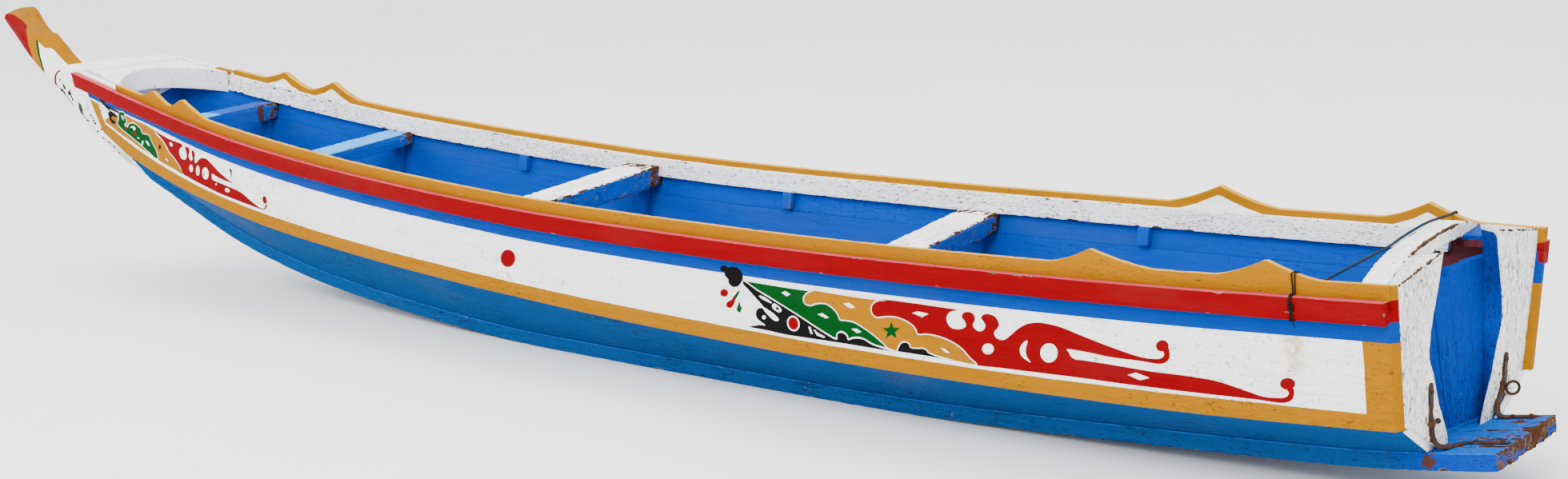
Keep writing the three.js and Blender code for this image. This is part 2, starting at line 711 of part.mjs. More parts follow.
function sternLine() {
  const x = ROPE.start;
  const start = [x, sideHalf(x, gunwaleZ(x) - 62, PLANK + INWALE.thick + ROPE_RADIUS + 3), gunwaleZ(x) - 62];
  const onBeam = [240, 120, 0, -130, -260].map((y) => {
    const place = crossbeamFront(y, 0) + 1;
    return [place, y, crossbeamTop(place, y / 560) + ROPE_RADIUS + 2];
  });
  const top = gunwaleZ(ROPE.end) + crestHeight(ROPE.end, CRESTS.starboard);
  const overTop = turnAround(ROPE.end, -1, [
    { inset: PLANK, z: top, from: 150, to: 90 },
    { inset: 0, z: top, from: 90, to: 0 },
    { inset: 0, z: top - 30, from: 0, to: 0 },
  ]);
  return [start, ...onBeam, ...overTop];
}
add("stern_line", cord(sternLine()), CORD());
add("rail_lashing", cord(railLashing()), CORD());

export default boat;
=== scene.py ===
"""Looks of a painted plank-built fishing pirogue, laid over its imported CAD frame.

Tables are in millimetres from the aft end of the keel log, as in the CAD source: +X to the bow, +Y to port and +Z up.
`to_frame` turns them into the frame's metres. Each sub-assembly is a class with its sizes, and each finish is a
frozen dataclass that builds one procedural material.
"""

from __future__ import annotations

import logging
import math
from dataclasses import dataclass, field
from enum import Enum
from typing import Callable, Sequence, Union

import bmesh
import bpy
import numpy as np
from mathutils import Matrix, Vector, noise
from mathutils.bvhtree import BVHTree
from mathutils.geometry import delaunay_2d_cdt
from mathutils.kdtree import KDTree

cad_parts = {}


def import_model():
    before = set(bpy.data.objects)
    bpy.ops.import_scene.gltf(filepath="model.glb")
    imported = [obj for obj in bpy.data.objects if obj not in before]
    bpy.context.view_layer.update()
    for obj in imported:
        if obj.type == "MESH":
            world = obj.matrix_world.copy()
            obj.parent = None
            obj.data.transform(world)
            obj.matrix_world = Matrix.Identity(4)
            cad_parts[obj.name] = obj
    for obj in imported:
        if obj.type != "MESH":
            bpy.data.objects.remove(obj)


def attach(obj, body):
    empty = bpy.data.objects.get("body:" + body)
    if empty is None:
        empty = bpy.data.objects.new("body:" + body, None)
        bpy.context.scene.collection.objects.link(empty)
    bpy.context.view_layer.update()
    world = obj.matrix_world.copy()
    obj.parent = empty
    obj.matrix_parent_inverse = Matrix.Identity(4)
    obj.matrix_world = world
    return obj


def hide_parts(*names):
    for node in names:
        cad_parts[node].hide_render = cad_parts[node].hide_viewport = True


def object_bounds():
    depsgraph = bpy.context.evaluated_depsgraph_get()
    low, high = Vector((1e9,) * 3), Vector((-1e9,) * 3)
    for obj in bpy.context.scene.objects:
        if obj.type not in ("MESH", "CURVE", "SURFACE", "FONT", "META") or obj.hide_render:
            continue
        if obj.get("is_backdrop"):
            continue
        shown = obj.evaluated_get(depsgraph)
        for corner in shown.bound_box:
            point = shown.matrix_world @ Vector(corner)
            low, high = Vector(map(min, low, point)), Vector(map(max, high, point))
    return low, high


logging.basicConfig(level=logging.INFO, format="%(message)s")
LOG = logging.getLogger("pirogue")

Array = np.ndarray
Line = Callable[[Array], Array]
Place = Callable[[Array, Array, Array], Array]
Measure = Callable[[Array], Array]
Colour = tuple[float, float, float]
Outline = tuple[tuple[float, float], ...]
Material = bpy.types.Material
Socket = bpy.types.NodeSocket
Input = Union[bpy.types.NodeSocket, float, Colour]
Spots = Sequence[tuple[float, float, float, float]]

# Sizes of the boat, in millimetres
LENGTH = 8930.0
MM = 0.001
STERN_X = 217.0
STERN_SKEW = 27.0
BOW_X = 7740.0
GAP = 0.5
PLANK = 30.0
BOTTOM_PLANK = 28.0
FLARE = 0.19
KEEL_DEPTH = 62.0
BUTTS = (2450.0, 4330.0)
END_CUT = 22.0
END_LONG = 24.0

# Half breadths that shares of the way to the side are taken of
LOG_HALF = 276.0
STERN_HALF = 566.0
BEAM_HALF = 560.0
WORN_HALF = 563.0

# Turns of a search for a place on two surfaces at once
TURNS = 9
SIGHT_TURNS = 14

# Work on the surfaces: waves of the faces and edges, reach of the nibbles, sharp angle and room left in the box
FACE_WAVE = 260.0
EDGE_WAVE = 34.0
EDGE_REACH = 9.0
FAR_FROM_EDGE = 50.0
SHARP = 38.0
ROOM = 0.2
NOWHERE = -50.0
FILM = 36.0
BODY = "root"


class Side(Enum):
    """A hand of the boat, with its sign along Y."""

    PORT = 1
    STARBOARD = -1

    @property
    def word(self) -> str:
        """The side's name in lower case."""
        return self.name.lower()

    @property
    def stern(self) -> float:
        """Where this side's planking ends aft."""
        return STERN_X + self.value * STERN_SKEW

    def trimmed(self, x: Array, inward: Array) -> Array:
        """Trims the aft end of a plank, which is cut on a slant to port and left long to starboard.

        Args:
            x: places along the boat.
            inward: distances inside the planking's outer face.

        Returns:
            The places, moved where they are on the plank's aft end.
        """
        slant = END_CUT * (1 - np.clip(inward, 0, PLANK) / PLANK) if self is Side.PORT else -END_LONG
        return np.where(x < self.stern + 0.01, x + slant, x)

    def on_end(self, points: Array) -> Array:
        """How far points are inside what shows of the planking's aft end from astern."""
        inward = inset(points)
        end = self.trimmed(np.full(len(points), self.stern), inward) + 6 - points[:, 0]
        if self is Side.PORT:
            return end
        return np.maximum(end, np.minimum(self.stern + 14 - points[:, 0], inward - 20))


class Slot(str, Enum):
    """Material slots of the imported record."""

    DEEP_BLUE = "deep_blue_paint"
    BLUE = "blue_paint"
    WHITE = "white_paint"
    YELLOW = "yellow_paint"
    RED = "red_paint"
    IRON = "old_iron"
    ROPE = "rope"


def to_frame(points: Array) -> Array:
    """Turns source millimetres into the frame's metres.

    Args:
        points: points in the source's millimetres, one to a row.

    Returns:
        The same points in metres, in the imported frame.
    """
    return (np.asarray(points, float) - (LENGTH / 2, 0.0, 0.0)) * MM


def to_source(points: Array) -> Array:
    """Turns the frame's metres back into source millimetres.

    Args:
        points: points in metres, one to a row.

    Returns:
        The same points in the source's millimetres.
    """
    return np.asarray(points, float) / MM + (LENGTH / 2, 0.0, 0.0)


def smooth_line(at: Sequence[float], values: Sequence[float]) -> Line:
    """Builds a smooth line through a table, level wherever two neighbouring values are equal.

    Args:
        at: places of the values, rising.
        values: the value at each place.

    Returns:
        A function from places to values.
    """
    place, value = np.asarray(at, float), np.asarray(values, float)
    rise = np.diff(value) / np.diff(place)
    before, after = np.append(rise[0], rise), np.append(rise, rise[-1])
    least = 3 * np.minimum(abs(before), abs(after))
    slope = np.where(before * after <= 0, 0.0, np.sign(before) * np.minimum(abs(before + after) / 2, least))

    def line(x: Array) -> Array:
        """The value at places along the table."""
        x = np.asarray(x, float)
        i = np.clip(np.searchsorted(place, x, side="right") - 1, 0, len(place) - 2)
        span = place[i + 1] - place[i]
        t = (x - place[i]) / span
        a, b, u, v = value[i], value[i + 1], slope[i] * span, slope[i + 1] * span
        return a + t * (u + t * (3 * (b - a) - 2 * u - v + t * (2 * (a - b) + u + v)))

    return line


def smoothstep(x: Array, low: float, high: float) -> Array:
    """Rises smoothly from 0 at low to 1 at high."""
    t = np.clip((np.asarray(x, float) - low) / (high - low), 0, 1)
    return t * t * (3 - 2 * t)


def steps(start: float, end: float, step: float) -> Array:
    """Evenly spaced places from start to end, at most a step apart."""
    return np.linspace(start, end, max(2, int(math.ceil(abs(end - start) / step)) + 1))


def shares(count: int) -> Array:
    """Evenly spaced shares from 0 to 1."""
    return np.linspace(0, 1, count)


def spread(count: int) -> Array:
    """Evenly spaced shares from -1 to 1."""
    return np.linspace(-1, 1, count)


def round_angles(count: int) -> Array:
    """Evenly spaced angles round a circle."""
    return np.linspace(0, 2 * math.pi, count, endpoint=False)


def walked(points: Array) -> Array:
    """Length along a row of points, up to each."""
    return np.append(0, np.cumsum(np.linalg.norm(np.diff(points, axis=0), axis=1)))


def tree_of(points: Sequence[Sequence[float]]) -> KDTree:
    """A tree that finds the nearest of some points."""
    tree = KDTree(len(points))
    for i, p in enumerate(points):
        tree.insert(p, i)
    tree.balance()
    return tree


def placed(name: str, data: bpy.types.ID | None) -> bpy.types.Object:
    """A new object in the scene."""
    made = bpy.data.objects.new(name, data)
    bpy.context.scene.collection.objects.link(made)
    return made


# The hull's lines


@dataclass(frozen=True)
class Section:
    """One section of the hull: its place, the gunwale's half breadth and height, the side's depth, and the log's."""

    x: float
    half: float
    top: float
    depth: float
    keel_half: float
    keel_z: float


SECTIONS = (
    Section(0, 578, 826, 496, 276, 166),
    Section(400, 608, 812, 506, 278, 111),
    Section(1100, 646, 787, 512, 282, 62),
    Section(2200, 668, 763, 504, 288, 8),
    Section(2800, 664, 757, 497, 292, 0),
    Section(3600, 644, 759, 486, 292, 0),
    Section(4300, 620, 773, 476, 284, 0),
    Section(5300, 572, 824, 476, 258, 46),
    Section(6100, 514, 888, 480, 216, 124),
    Section(6700, 462, 957, 464, 172, 236),
    Section(7200, 414, 1028, 430, 131, 382),
    Section(7740, 358, 1112, 346, 92, 556),
)


@dataclass(frozen=True)
class Crest:
    """A carved point on the gunwale: its peak, height, and reach aft and forward."""

    x: float
    height: float
    aft: float
    fore: float


CRESTS = {
    Side.PORT: (
        Crest(1312, 58, 250, 170), Crest(670, 62, 190, 190), Crest(6971, 54, 150, 150), Crest(6692, 66, 220, 160)
    ),
    Side.STARBOARD: (
        Crest(1477, 74, 275, 240), Crest(612, 62, 210, 190), Crest(6980, 58, 190, 180), Crest(6621, 66, 210, 170)
    ),
}


class Hull:
    """The hull's smooth lines and the surfaces that follow from them."""

    def __init__(self, sections: Sequence[Section]) -> None:
        """Runs a smooth line through each column of the sections."""
        at = [s.x for s in sections]
        self.half = smooth_line(at, [s.half for s in sections])
        self.top = smooth_line(at, [s.top for s in sections])
        self.depth = smooth_line(at, [s.depth for s in sections])
        self.keel_half = smooth_line(at, [s.keel_half for s in sections])
        self.keel_z = smooth_line(at, [s.keel_z for s in sections])

    def chine(self, x: Array) -> Array:
        """Height of the chine."""
        return self.top(x) - self.depth(x)

    def keel_top(self, x: Array) -> Array:
        """Height of the log's upper face."""
        return self.keel_z(x) + KEEL_DEPTH

    def side_half(self, x: Array, z: Array, inset: Array | float = 0.0) -> Array:
        """Half breadth of the side at a height, a distance inside its outer face."""
        return self.half(x) - FLARE * (self.top(x) - z) - inset

    def bottom_edge(self, x: Array) -> tuple[Array, Array, Array]:
        """Outer half breadths of the bottom plank at the chine and at the log, and its level breadth."""
        high = self.side_half(x, self.chine(x), 14.0)
        low = self.keel_half(x) - 4
        up = self.chine(x) - self.keel_top(x)
        return high, low, BOTTOM_PLANK * np.hypot(high - low, up) / up

    def inner_half(self, x: Array, z: Array, gap: float = 3.0) -> Array:
        """Half breadth inside the planking at any height above the log."""
        high, low, breadth = self.bottom_edge(x)
        share = (z - self.keel_top(x)) / (self.chine(x) - self.keel_top(x))
        below = low + share * (high - low) - breadth - gap
        return np.where(z < self.chine(x), below, self.side_half(x, z, PLANK + GAP))


HULL = Hull(SECTIONS)


def crest_height(x: Array, crests: Sequence[Crest]) -> Array:
    """Height that the carved points add to the gunwale."""
    heights = [c.height * np.clip(1 - abs(x - c.x) / np.where(x < c.x, c.aft, c.fore), 0, 1) ** 1.5 for c in crests]
    return np.max(heights, axis=0)


@dataclass(frozen=True)
class Length:
    """One of the lengths that a plank is made of, from the stern where it has no start of its own."""

    name: str
    start: float | None
    end: float

    def span(self, side: Side) -> tuple[float, float]:
        """Where it starts and ends on a side."""
        return (side.stern if self.start is None else self.start), self.end


LENGTHS = (
    Length("aft", None, BUTTS[0]), Length("middle", BUTTS[0] + GAP, BUTTS[1]), Length("fore", BUTTS[1] + GAP, BOW_X)
)

# Paint lines on the outside, as depths below the gunwale
LINES_AT = (200, 700, 1400, 2200, 3000, 3800, 4600, 5300, 6000, 6600, 7200, 7700)
BLUE_TO_WHITE = smooth_line(LINES_AT, (198, 218, 224, 213, 203, 198, 192, 194, 192, 180, 150, 148))
WHITE_TO_YELLOW = smooth_line(LINES_AT, (449, 446, 446, 439, 425, 413, 406, 408, 410, 402, 348, 246))


# Meshes


@dataclass
class Form:
    """Points and faces of one piece, in source millimetres."""

    points: Array
    faces: list[tuple[int, ...]]


def block(place: Place, s: Array, u: Array, v: Array) -> Form:
    """The six faces of a bent block.

    Args:
        place: gives the point at each (s, u, v), one to a row.
        s: places along the block.
        u: places across it.
        v: places through it.

    Returns:
        The closed surface.
    """
    shell = np.zeros((len(s), len(u), len(v)), bool)
    shell[[0, -1]] = True
    shell[:, [0, -1]] = True
    shell[:, :, [0, -1]] = True
    number = np.full(shell.shape, -1)
    number[shell] = np.arange(shell.sum())
    i, j, k = np.nonzero(shell)
    quads = []
    for axis in range(3):
        for end in (0, -1):
            n = np.take(number, end, axis=axis)
            quads.append(np.stack([n[:-1, :-1], n[1:, :-1], n[1:, 1:], n[:-1, 1:]], -1).reshape(-1, 4))
    faces = [tuple(int(n) for n in q) for q in np.concatenate(quads)]
    return Form(place(np.asarray(s)[i], np.asarray(u)[j], np.asarray(v)[k]), faces)


def tube(centres: Array, section: Callable[[int, Array], Array], sides: int, up: Sequence[float] = (0, 0, 1)) -> Form:
    """A closed tube along a row of points.

    Args:
        centres: the middle of each ring.
        section: gives (across, up) offsets for a ring's number and its angles.
        sides: points round each ring.
        up: a direction that the line never follows, to keep the rings from turning.

    Returns:
        The closed surface.
    """
    centres = np.asarray(centres, float)
    along = np.gradient(centres, axis=0)
    along /= np.linalg.norm(along, axis=1)[:, None]
    frame = np.cross(along[0], up)
    angles = round_angles(sides)
    rings = []
    for i, (centre, t) in enumerate(zip(centres, along)):
        frame = frame - np.dot(frame, t) * t
        frame = frame / np.linalg.norm(frame)
        offset = section(i, angles)
        rings.append(centre + offset[:, :1] * frame + offset[:, 1:] * np.cross(t, frame))
    return rings_form(rings)


def rings_form(rings: Sequence[Array]) -> Form:
    """The closed surface through a row of rings with the same number of points."""
    count, total = len(rings[0]), len(rings)
    faces: list[tuple[int, ...]] = []
    for r in range(total - 1):
        for i in range(count):
            j = (i + 1) % count
            faces.append((r * count + i, r * count + j, (r + 1) * count + j, (r + 1) * count + i))
    faces.append(tuple(range(count)))
    faces.append(tuple((total - 1) * count + i for i in range(count)))
    return Form(np.concatenate(rings), faces)


def lathe(profile: Sequence[tuple[float, float]], at: Array, axis: Array, sides: int = 20) -> Form:
    """A turned solid.

    Args:
        profile: (radius, height) rows along the axis.
        at: foot of the axis.
        axis: direction of the axis.
        sides: points round each ring.

    Returns:
        The closed surface.
    """
    axis = np.asarray(axis, float) / np.linalg.norm(axis)
    first = np.cross(axis, (0.31, 0.87, 0.38))
    first /= np.linalg.norm(first)
    second = np.cross(axis, first)
    turn = round_angles(sides)[:, None]
    rings = [np.asarray(at) + h * axis + r * (np.cos(turn) * first + np.sin(turn) * second) for r, h in profile]
    return rings_form(rings)


def waver(point: Sequence[float], length: float) -> float:
    """Smooth noise from about -1 to 1, in waves of about a length."""
    return noise.noise(Vector(point) / length)


@dataclass(frozen=True)
class Surface:
    """How a piece's surface is finished in the mesh.

    Attributes:
        round: radius of its worn edges.
        uneven: how far the faces waver.
        nibble: how far pieces are broken out of the edges.
        crease: angle in degrees from which an edge is a real one.
        butts: places along the boat where the ends stay square, because the next length meets them.
    """

    round: float = 2.5
    uneven: float = 0.8
    nibble: float = 0.0
    crease: float = 32.0
    butts: tuple[float, ...] = ()

    def is_real(self, edge: bmesh.types.BMEdge) -> bool:
        """Whether an edge of the form is one that wears."""
        ends = [v.co.x for v in edge.verts]
        butted = any(all(abs(x - b) < 1 for x in ends) for b in self.butts)
        return edge.is_manifold and not butted and edge.calc_face_angle(0) > math.radians(self.crease)


class Workshop:
    """Makes Blender objects from forms, inside the CAD model's box, and keeps a list of them."""

    def __init__(self, box: Array) -> None:
        """Takes the box that every piece stays inside, in metres."""
        self.made: list[tuple[str, int]] = []
        low, high = to_source(box)
        self.low, self.high = low + ROOM, high - ROOM

    def piece(
        self,
        name: str,
        form: Form,
        material: Material,
        slot: Slot,
        replaces: Sequence[str] = (),
        surface: Surface = Surface(),
        measures: dict[str, Measure] | None = None,
    ) -> bpy.types.Object:
        """Makes one piece.

        Args:
            name: the piece's name.
            form: its surface in source millimetres.
            material: its finish.
            slot: the record's slot that the finish goes with; not used.
            replaces: CAD nodes that it stands for.
            surface: how its edges and faces are worked.
            measures: attributes for the material, from source points to numbers.

        Returns:
            The new object.
        """
        bm = bmesh.new()
        verts = [bm.verts.new(p) for p in form.points]
        for f in form.faces:
            bm.faces.new([verts[i] for i in f])
        bmesh.ops.remove_doubles(bm, verts=bm.verts[:], dist=0.02)
        bmesh.ops.recalc_face_normals(bm, faces=bm.faces[:])
        bm.normal_update()
        sharp = [e for e in bm.edges if surface.is_real(e)]
        near = self._edge_finder(sharp)
        if surface.round and sharp:
            bmesh.ops.bevel(
                bm, geom=sharp, offset=surface.round, segments=2, profile=0.6, affect="EDGES", clamp_overlap=True
            )
        bm.normal_update()
        edge = {v: (near.find(v.co)[2] if near else FAR_FROM_EDGE) for v in bm.verts}
        for v in bm.verts:
            out = surface.uneven * waver(v.co, FACE_WAVE)
            if surface.nibble and edge[v] < EDGE_REACH:
                bite = max(0.0, waver(v.co + Vector((70, 30, 10)), EDGE_WAVE) - 0.12) * 2.6
                out -= surface.nibble * min(bite, 1.0) * (1 - edge[v] / EDGE_REACH)
            v.co += v.normal * out
        points = np.clip(np.array([v.co for v in bm.verts]), self.low, self.high)
        edges = np.array([edge[v] for v in bm.verts])
        mesh = bpy.data.meshes.new(name)
        bm.to_mesh(mesh)
        bm.free()
        mesh.vertices.foreach_set("co", to_frame(points).astype(np.float32).ravel())
        values = {"edge": edges, **{k: m(points) for k, m in (measures or {}).items()}}
        for key, value in values.items():
            layer = mesh.attributes.new(key, "FLOAT", "POINT")
            layer.data.foreach_set("value", np.asarray(value, np.float32))
        mesh.shade_smooth()
        mesh.set_sharp_from_angle(angle=math.radians(SHARP))
        mesh.materials.append(material)
        return self._place(name, mesh, slot, replaces)

    def dress(
        self,
        node: str,
        form: Form,
        material: Material,
        slot: Slot,
        surface: Surface = Surface(),
        measures: dict[str, Measure] | None = None,
    ) -> bpy.types.Object:
        """Makes the piece that stands for one CAD node, with the rest as for `piece`."""
        return self.piece(f"{node}_finished", form, material, slot, [node], surface, measures)

    def decal(
        self, name: str, points: Array, faces: Array, which: Array, materials: Sequence[Material], slot: Slot
    ) -> bpy.types.Object:
        """Makes a thin painted figure from triangles, each with the number of its paint.

        Args:
            name: the piece's name.
            points: corners in source millimetres.
            faces: three corner numbers to a row.
            which: the number of each face's paint.
            materials: the paints.
            slot: the record's slot that they go with; not used.

        Returns:
            The new object.
        """
        mesh = bpy.data.meshes.new(name)
        mesh.from_pydata(to_frame(points).tolist(), [], faces.tolist())
        for material in materials:
            mesh.materials.append(material)
        mesh.polygons.foreach_set("material_index", which.astype(np.int32))
        layer = mesh.attributes.new("edge", "FLOAT", "POINT")
        layer.data.foreach_set("value", np.full(len(points), FAR_FROM_EDGE, np.float32))
        mesh.shade_smooth()
        mesh.update()
        return self._place(name, mesh, slot, ())

    @staticmethod
    def _edge_finder(sharp: Sequence) -> KDTree | None:
        """A tree of places along the real edges."""
        places = []
        for e in sharp:
            a, b = (v.co for v in e.verts)
            count = max(1, int((b - a).length / 8))
            places += [a.lerp(b, i / count) for i in range(count + 1)]
        return tree_of(places) if places else None

    def _place(self, name: str, mesh: bpy.types.Mesh, slot: Slot, replaces: Sequence[str]) -> bpy.types.Object:
        """Puts a mesh in the scene, on its body."""
        made = placed(name, mesh)
        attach(made, BODY)
        if replaces:
            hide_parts(*replaces)
        self.made.append((name, sum(len(p.vertices) - 2 for p in mesh.polygons)))
        return made


# Finishes


class Paint(Enum):
    """Colours of the boat, as linear numbers that suit this scene's light."""

    YELLOW = (0.29, 0.115, 0.0003)
    # Painted highlight: a paler yellow for the crest boards' top face
    PALE_YELLOW = (0.50, 0.27, 0.02)
    RED = (0.17, 0.0002, 0.003)
    # Painted highlight: a paler red for the rub rail's top face
    PINK = (0.42, 0.05, 0.06)
    BLUE = (0.0003, 0.037, 0.28)
    # Painted light: a brighter blue for the keel log's upper face
    TOP_BLUE = (0.0003, 0.085, 0.42)
    INSIDE_BLUE = (0.0003, 0.056, 0.35)
    BAND_BLUE = (0.0003, 0.035, 0.24)
    DEEP_BLUE = (0.0003, 0.052, 0.185)
    # Painted highlight: a paler blue for the blue thwarts' top face
    PALE_BLUE = (0.06, 0.30, 0.72)
    WHITE = (0.85, 0.85, 0.845)
    GREEN = (0.0003, 0.047, 0.006)
    BLACK = (0.0055, 0.005, 0.0055)
    PALE_WOOD = (0.18, 0.13, 0.08)
    WOOD = (0.09, 0.042, 0.021)
    DARK_WOOD = (0.022, 0.012, 0.0085)
    # Painted shade: a dark red-brown laid in the hollow under and behind the crossbeam
    RECESS = (0.10, 0.024, 0.027)
    RUST = (0.062, 0.023, 0.008)
    STAIN = (0.40, 0.24, 0.06)
    GRIME = (0.10, 0.09, 0.075)
    IRON = (0.0165, 0.0115, 0.0098)

    @property
    def lift(self) -> float:
        """How much brighter it is where it has faded, and where painted light falls on faces that look up."""
        return 1.05 if self is Paint.WHITE else 1.25


class Grain(Enum):
    """Which way the wood runs: how much its marks are drawn out along X, Y and Z."""

    ALONG = (1.0, 16.0, 16.0)
    ACROSS = (16.0, 1.0, 16.0)
    UPRIGHT = (16.0, 16.0, 1.0)


@dataclass(frozen=True)
class Zone:
    """Paint laid wherever an attribute, in millimetres, is over a start.

    Attributes:
        paint: the paint.
        attribute: the mesh attribute.
        start: the attribute's value on the paint's edge.
        wobble: how far the edge wanders.
        blend: half the width over which the paint comes in.
    """

    paint: Paint
    attribute: str
    start: float = 0.0
    wobble: float = 1.2
    blend: float = 0.5


@dataclass(frozen=True)
class Wear:
    """How worn a finish is.

    Attributes:
        chips: how much paint has come off, from 0 to 1.
        edges: how much more comes off along the edges.
        cracks: strength of the fine dark cracks along the grain.
        fade: how patchy the colour is.
        grime: how much dark dirt lies in it.
        under: what shows under the chips.
        ticks: how many short dark marks lie along the grain.
        rough: roughness of the sound paint.
        relief: strength of the bump.
    """

    chips: float = 0.18
    edges: float = 0.5
    cracks: float = 0.5
    fade: float = 0.12
    grime: float = 0.15
    under: Paint = Paint.WOOD
    ticks: float = 0.4
    rough: float = 0.42
    relief: float = 0.5


class Nodes:
    """Builds the node tree of one material."""

    def __init__(self, name: str) -> None:
        """Makes the material with its shader."""
        self.material = bpy.data.materials.new(name)
        self.material.use_nodes = True
        self.tree = self.material.node_tree
        self.tree.nodes.clear()
        self.shader = self._new("BsdfPrincipled")
        out = self._new("OutputMaterial")
        self.tree.links.new(self.shader.outputs[0], out.inputs["Surface"])
        self.where = self._new("TexCoord").outputs["Object"]

    def _new(self, kind: str) -> bpy.types.Node:
        """A new node of a kind."""
        return self.tree.nodes.new("ShaderNode" + kind)

    def put(self, value: Input, socket: Socket) -> None:
        """Sets a socket, or links it where the value is a socket."""
        if isinstance(value, bpy.types.NodeSocket):
            self.tree.links.new(value, socket)
        elif isinstance(value, tuple) and socket.type == "RGBA":
            socket.default_value = (*value, 1.0)
        else:
            socket.default_value = value

    def maths(self, operation: str, a: Input, b: Input = 0.0, clamp: bool = False) -> Socket:
        """One Math node."""
        node = self._new("Math")
        node.operation, node.use_clamp = operation, clamp
        self.put(a, node.inputs[0])
        self.put(b, node.inputs[1])
        return node.outputs[0]

    def times(self, a: Input, b: Input, clamp: bool = False) -> Socket:
        """A product."""
        return self.maths("MULTIPLY", a, b, clamp)

    def plus(self, a: Input, b: Input) -> Socket:
        """A sum."""
        return self.maths("ADD", a, b)

    def minus(self, a: Input, b: Input) -> Socket:
        """A difference."""
        return self.maths("SUBTRACT", a, b)

    def ramp(self, value: Input, low: float, high: float, start: float = 0.0, end: float = 1.0) -> Socket:
        """Maps a value from low..high to start..end, smoothly."""
        node = self._new("MapRange")
        node.interpolation_type = "SMOOTHSTEP"
        for socket, number in zip(node.inputs, (value, low, high, start, end)):
            self.put(number, socket)
        return node.outputs[0]

    def mix(self, share: Input, a: Input, b: Input, mode: str = "MIX") -> Socket:
        """Mixes two colours."""
        node = self._new("Mix")
        node.data_type, node.blend_type = "RGBA", mode
        self.put(share, node.inputs["Factor"])
        self.put(a, node.inputs[6])
        self.put(b, node.inputs[7])
        return node.outputs[2]

    def attribute(self, name: str) -> Socket:
        """A mesh attribute's number."""
        node = self._new("Attribute")
        node.attribute_name = name
        return node.outputs["Fac"]

    def noise(
        self, scale: float, detail: float = 4.0, stretch: Sequence[float] = (1, 1, 1), shift: float = 0.0
    ) -> Socket:
        """Noise in the piece's own place, finer in the stretched directions."""
        mapping = self._new("Mapping")
        mapping.inputs["Location"].default_value = (shift, shift * 0.7, shift * 1.3)
        mapping.inputs["Scale"].default_value = tuple(stretch)
        self.tree.links.new(self.where, mapping.inputs["Vector"])
        node = self._new("TexNoise")
        node.inputs["Scale"].default_value = scale
        node.inputs["Detail"].default_value = detail
        node.inputs["Roughness"].default_value = 0.6
        self.tree.links.new(mapping.outputs[0], node.inputs["Vector"])
        return node.outputs["Fac"]

    def upward(self) -> Socket:
        """1 on faces that look up, 0 on the others."""
        parts = self._new("SeparateXYZ")
        self.tree.links.new(self._new("NewGeometry").outputs["Normal"], parts.inputs[0])
        return self.ramp(parts.outputs[2], 0.55, 0.9)

    def relief(self, height: Socket, strength: float, distance: float) -> None:
        """Gives the shader a bump from a height."""
        bump = self._new("Bump")
        bump.inputs["Strength"].default_value = strength
        bump.inputs["Distance"].default_value = distance
        self.tree.links.new(height, bump.inputs["Height"])
        self.tree.links.new(bump.outputs[0], self.shader.inputs["Normal"])


class Finish:
    """A finish, which builds one procedural material."""

    name: str

    def lay(self, n: Nodes) -> None:
        """Lays the finish's nodes."""
        raise NotImplementedError

    def build(self) -> Material:
        """Makes the material."""
        n = Nodes(self.name)
        self.lay(n)
        return n.material


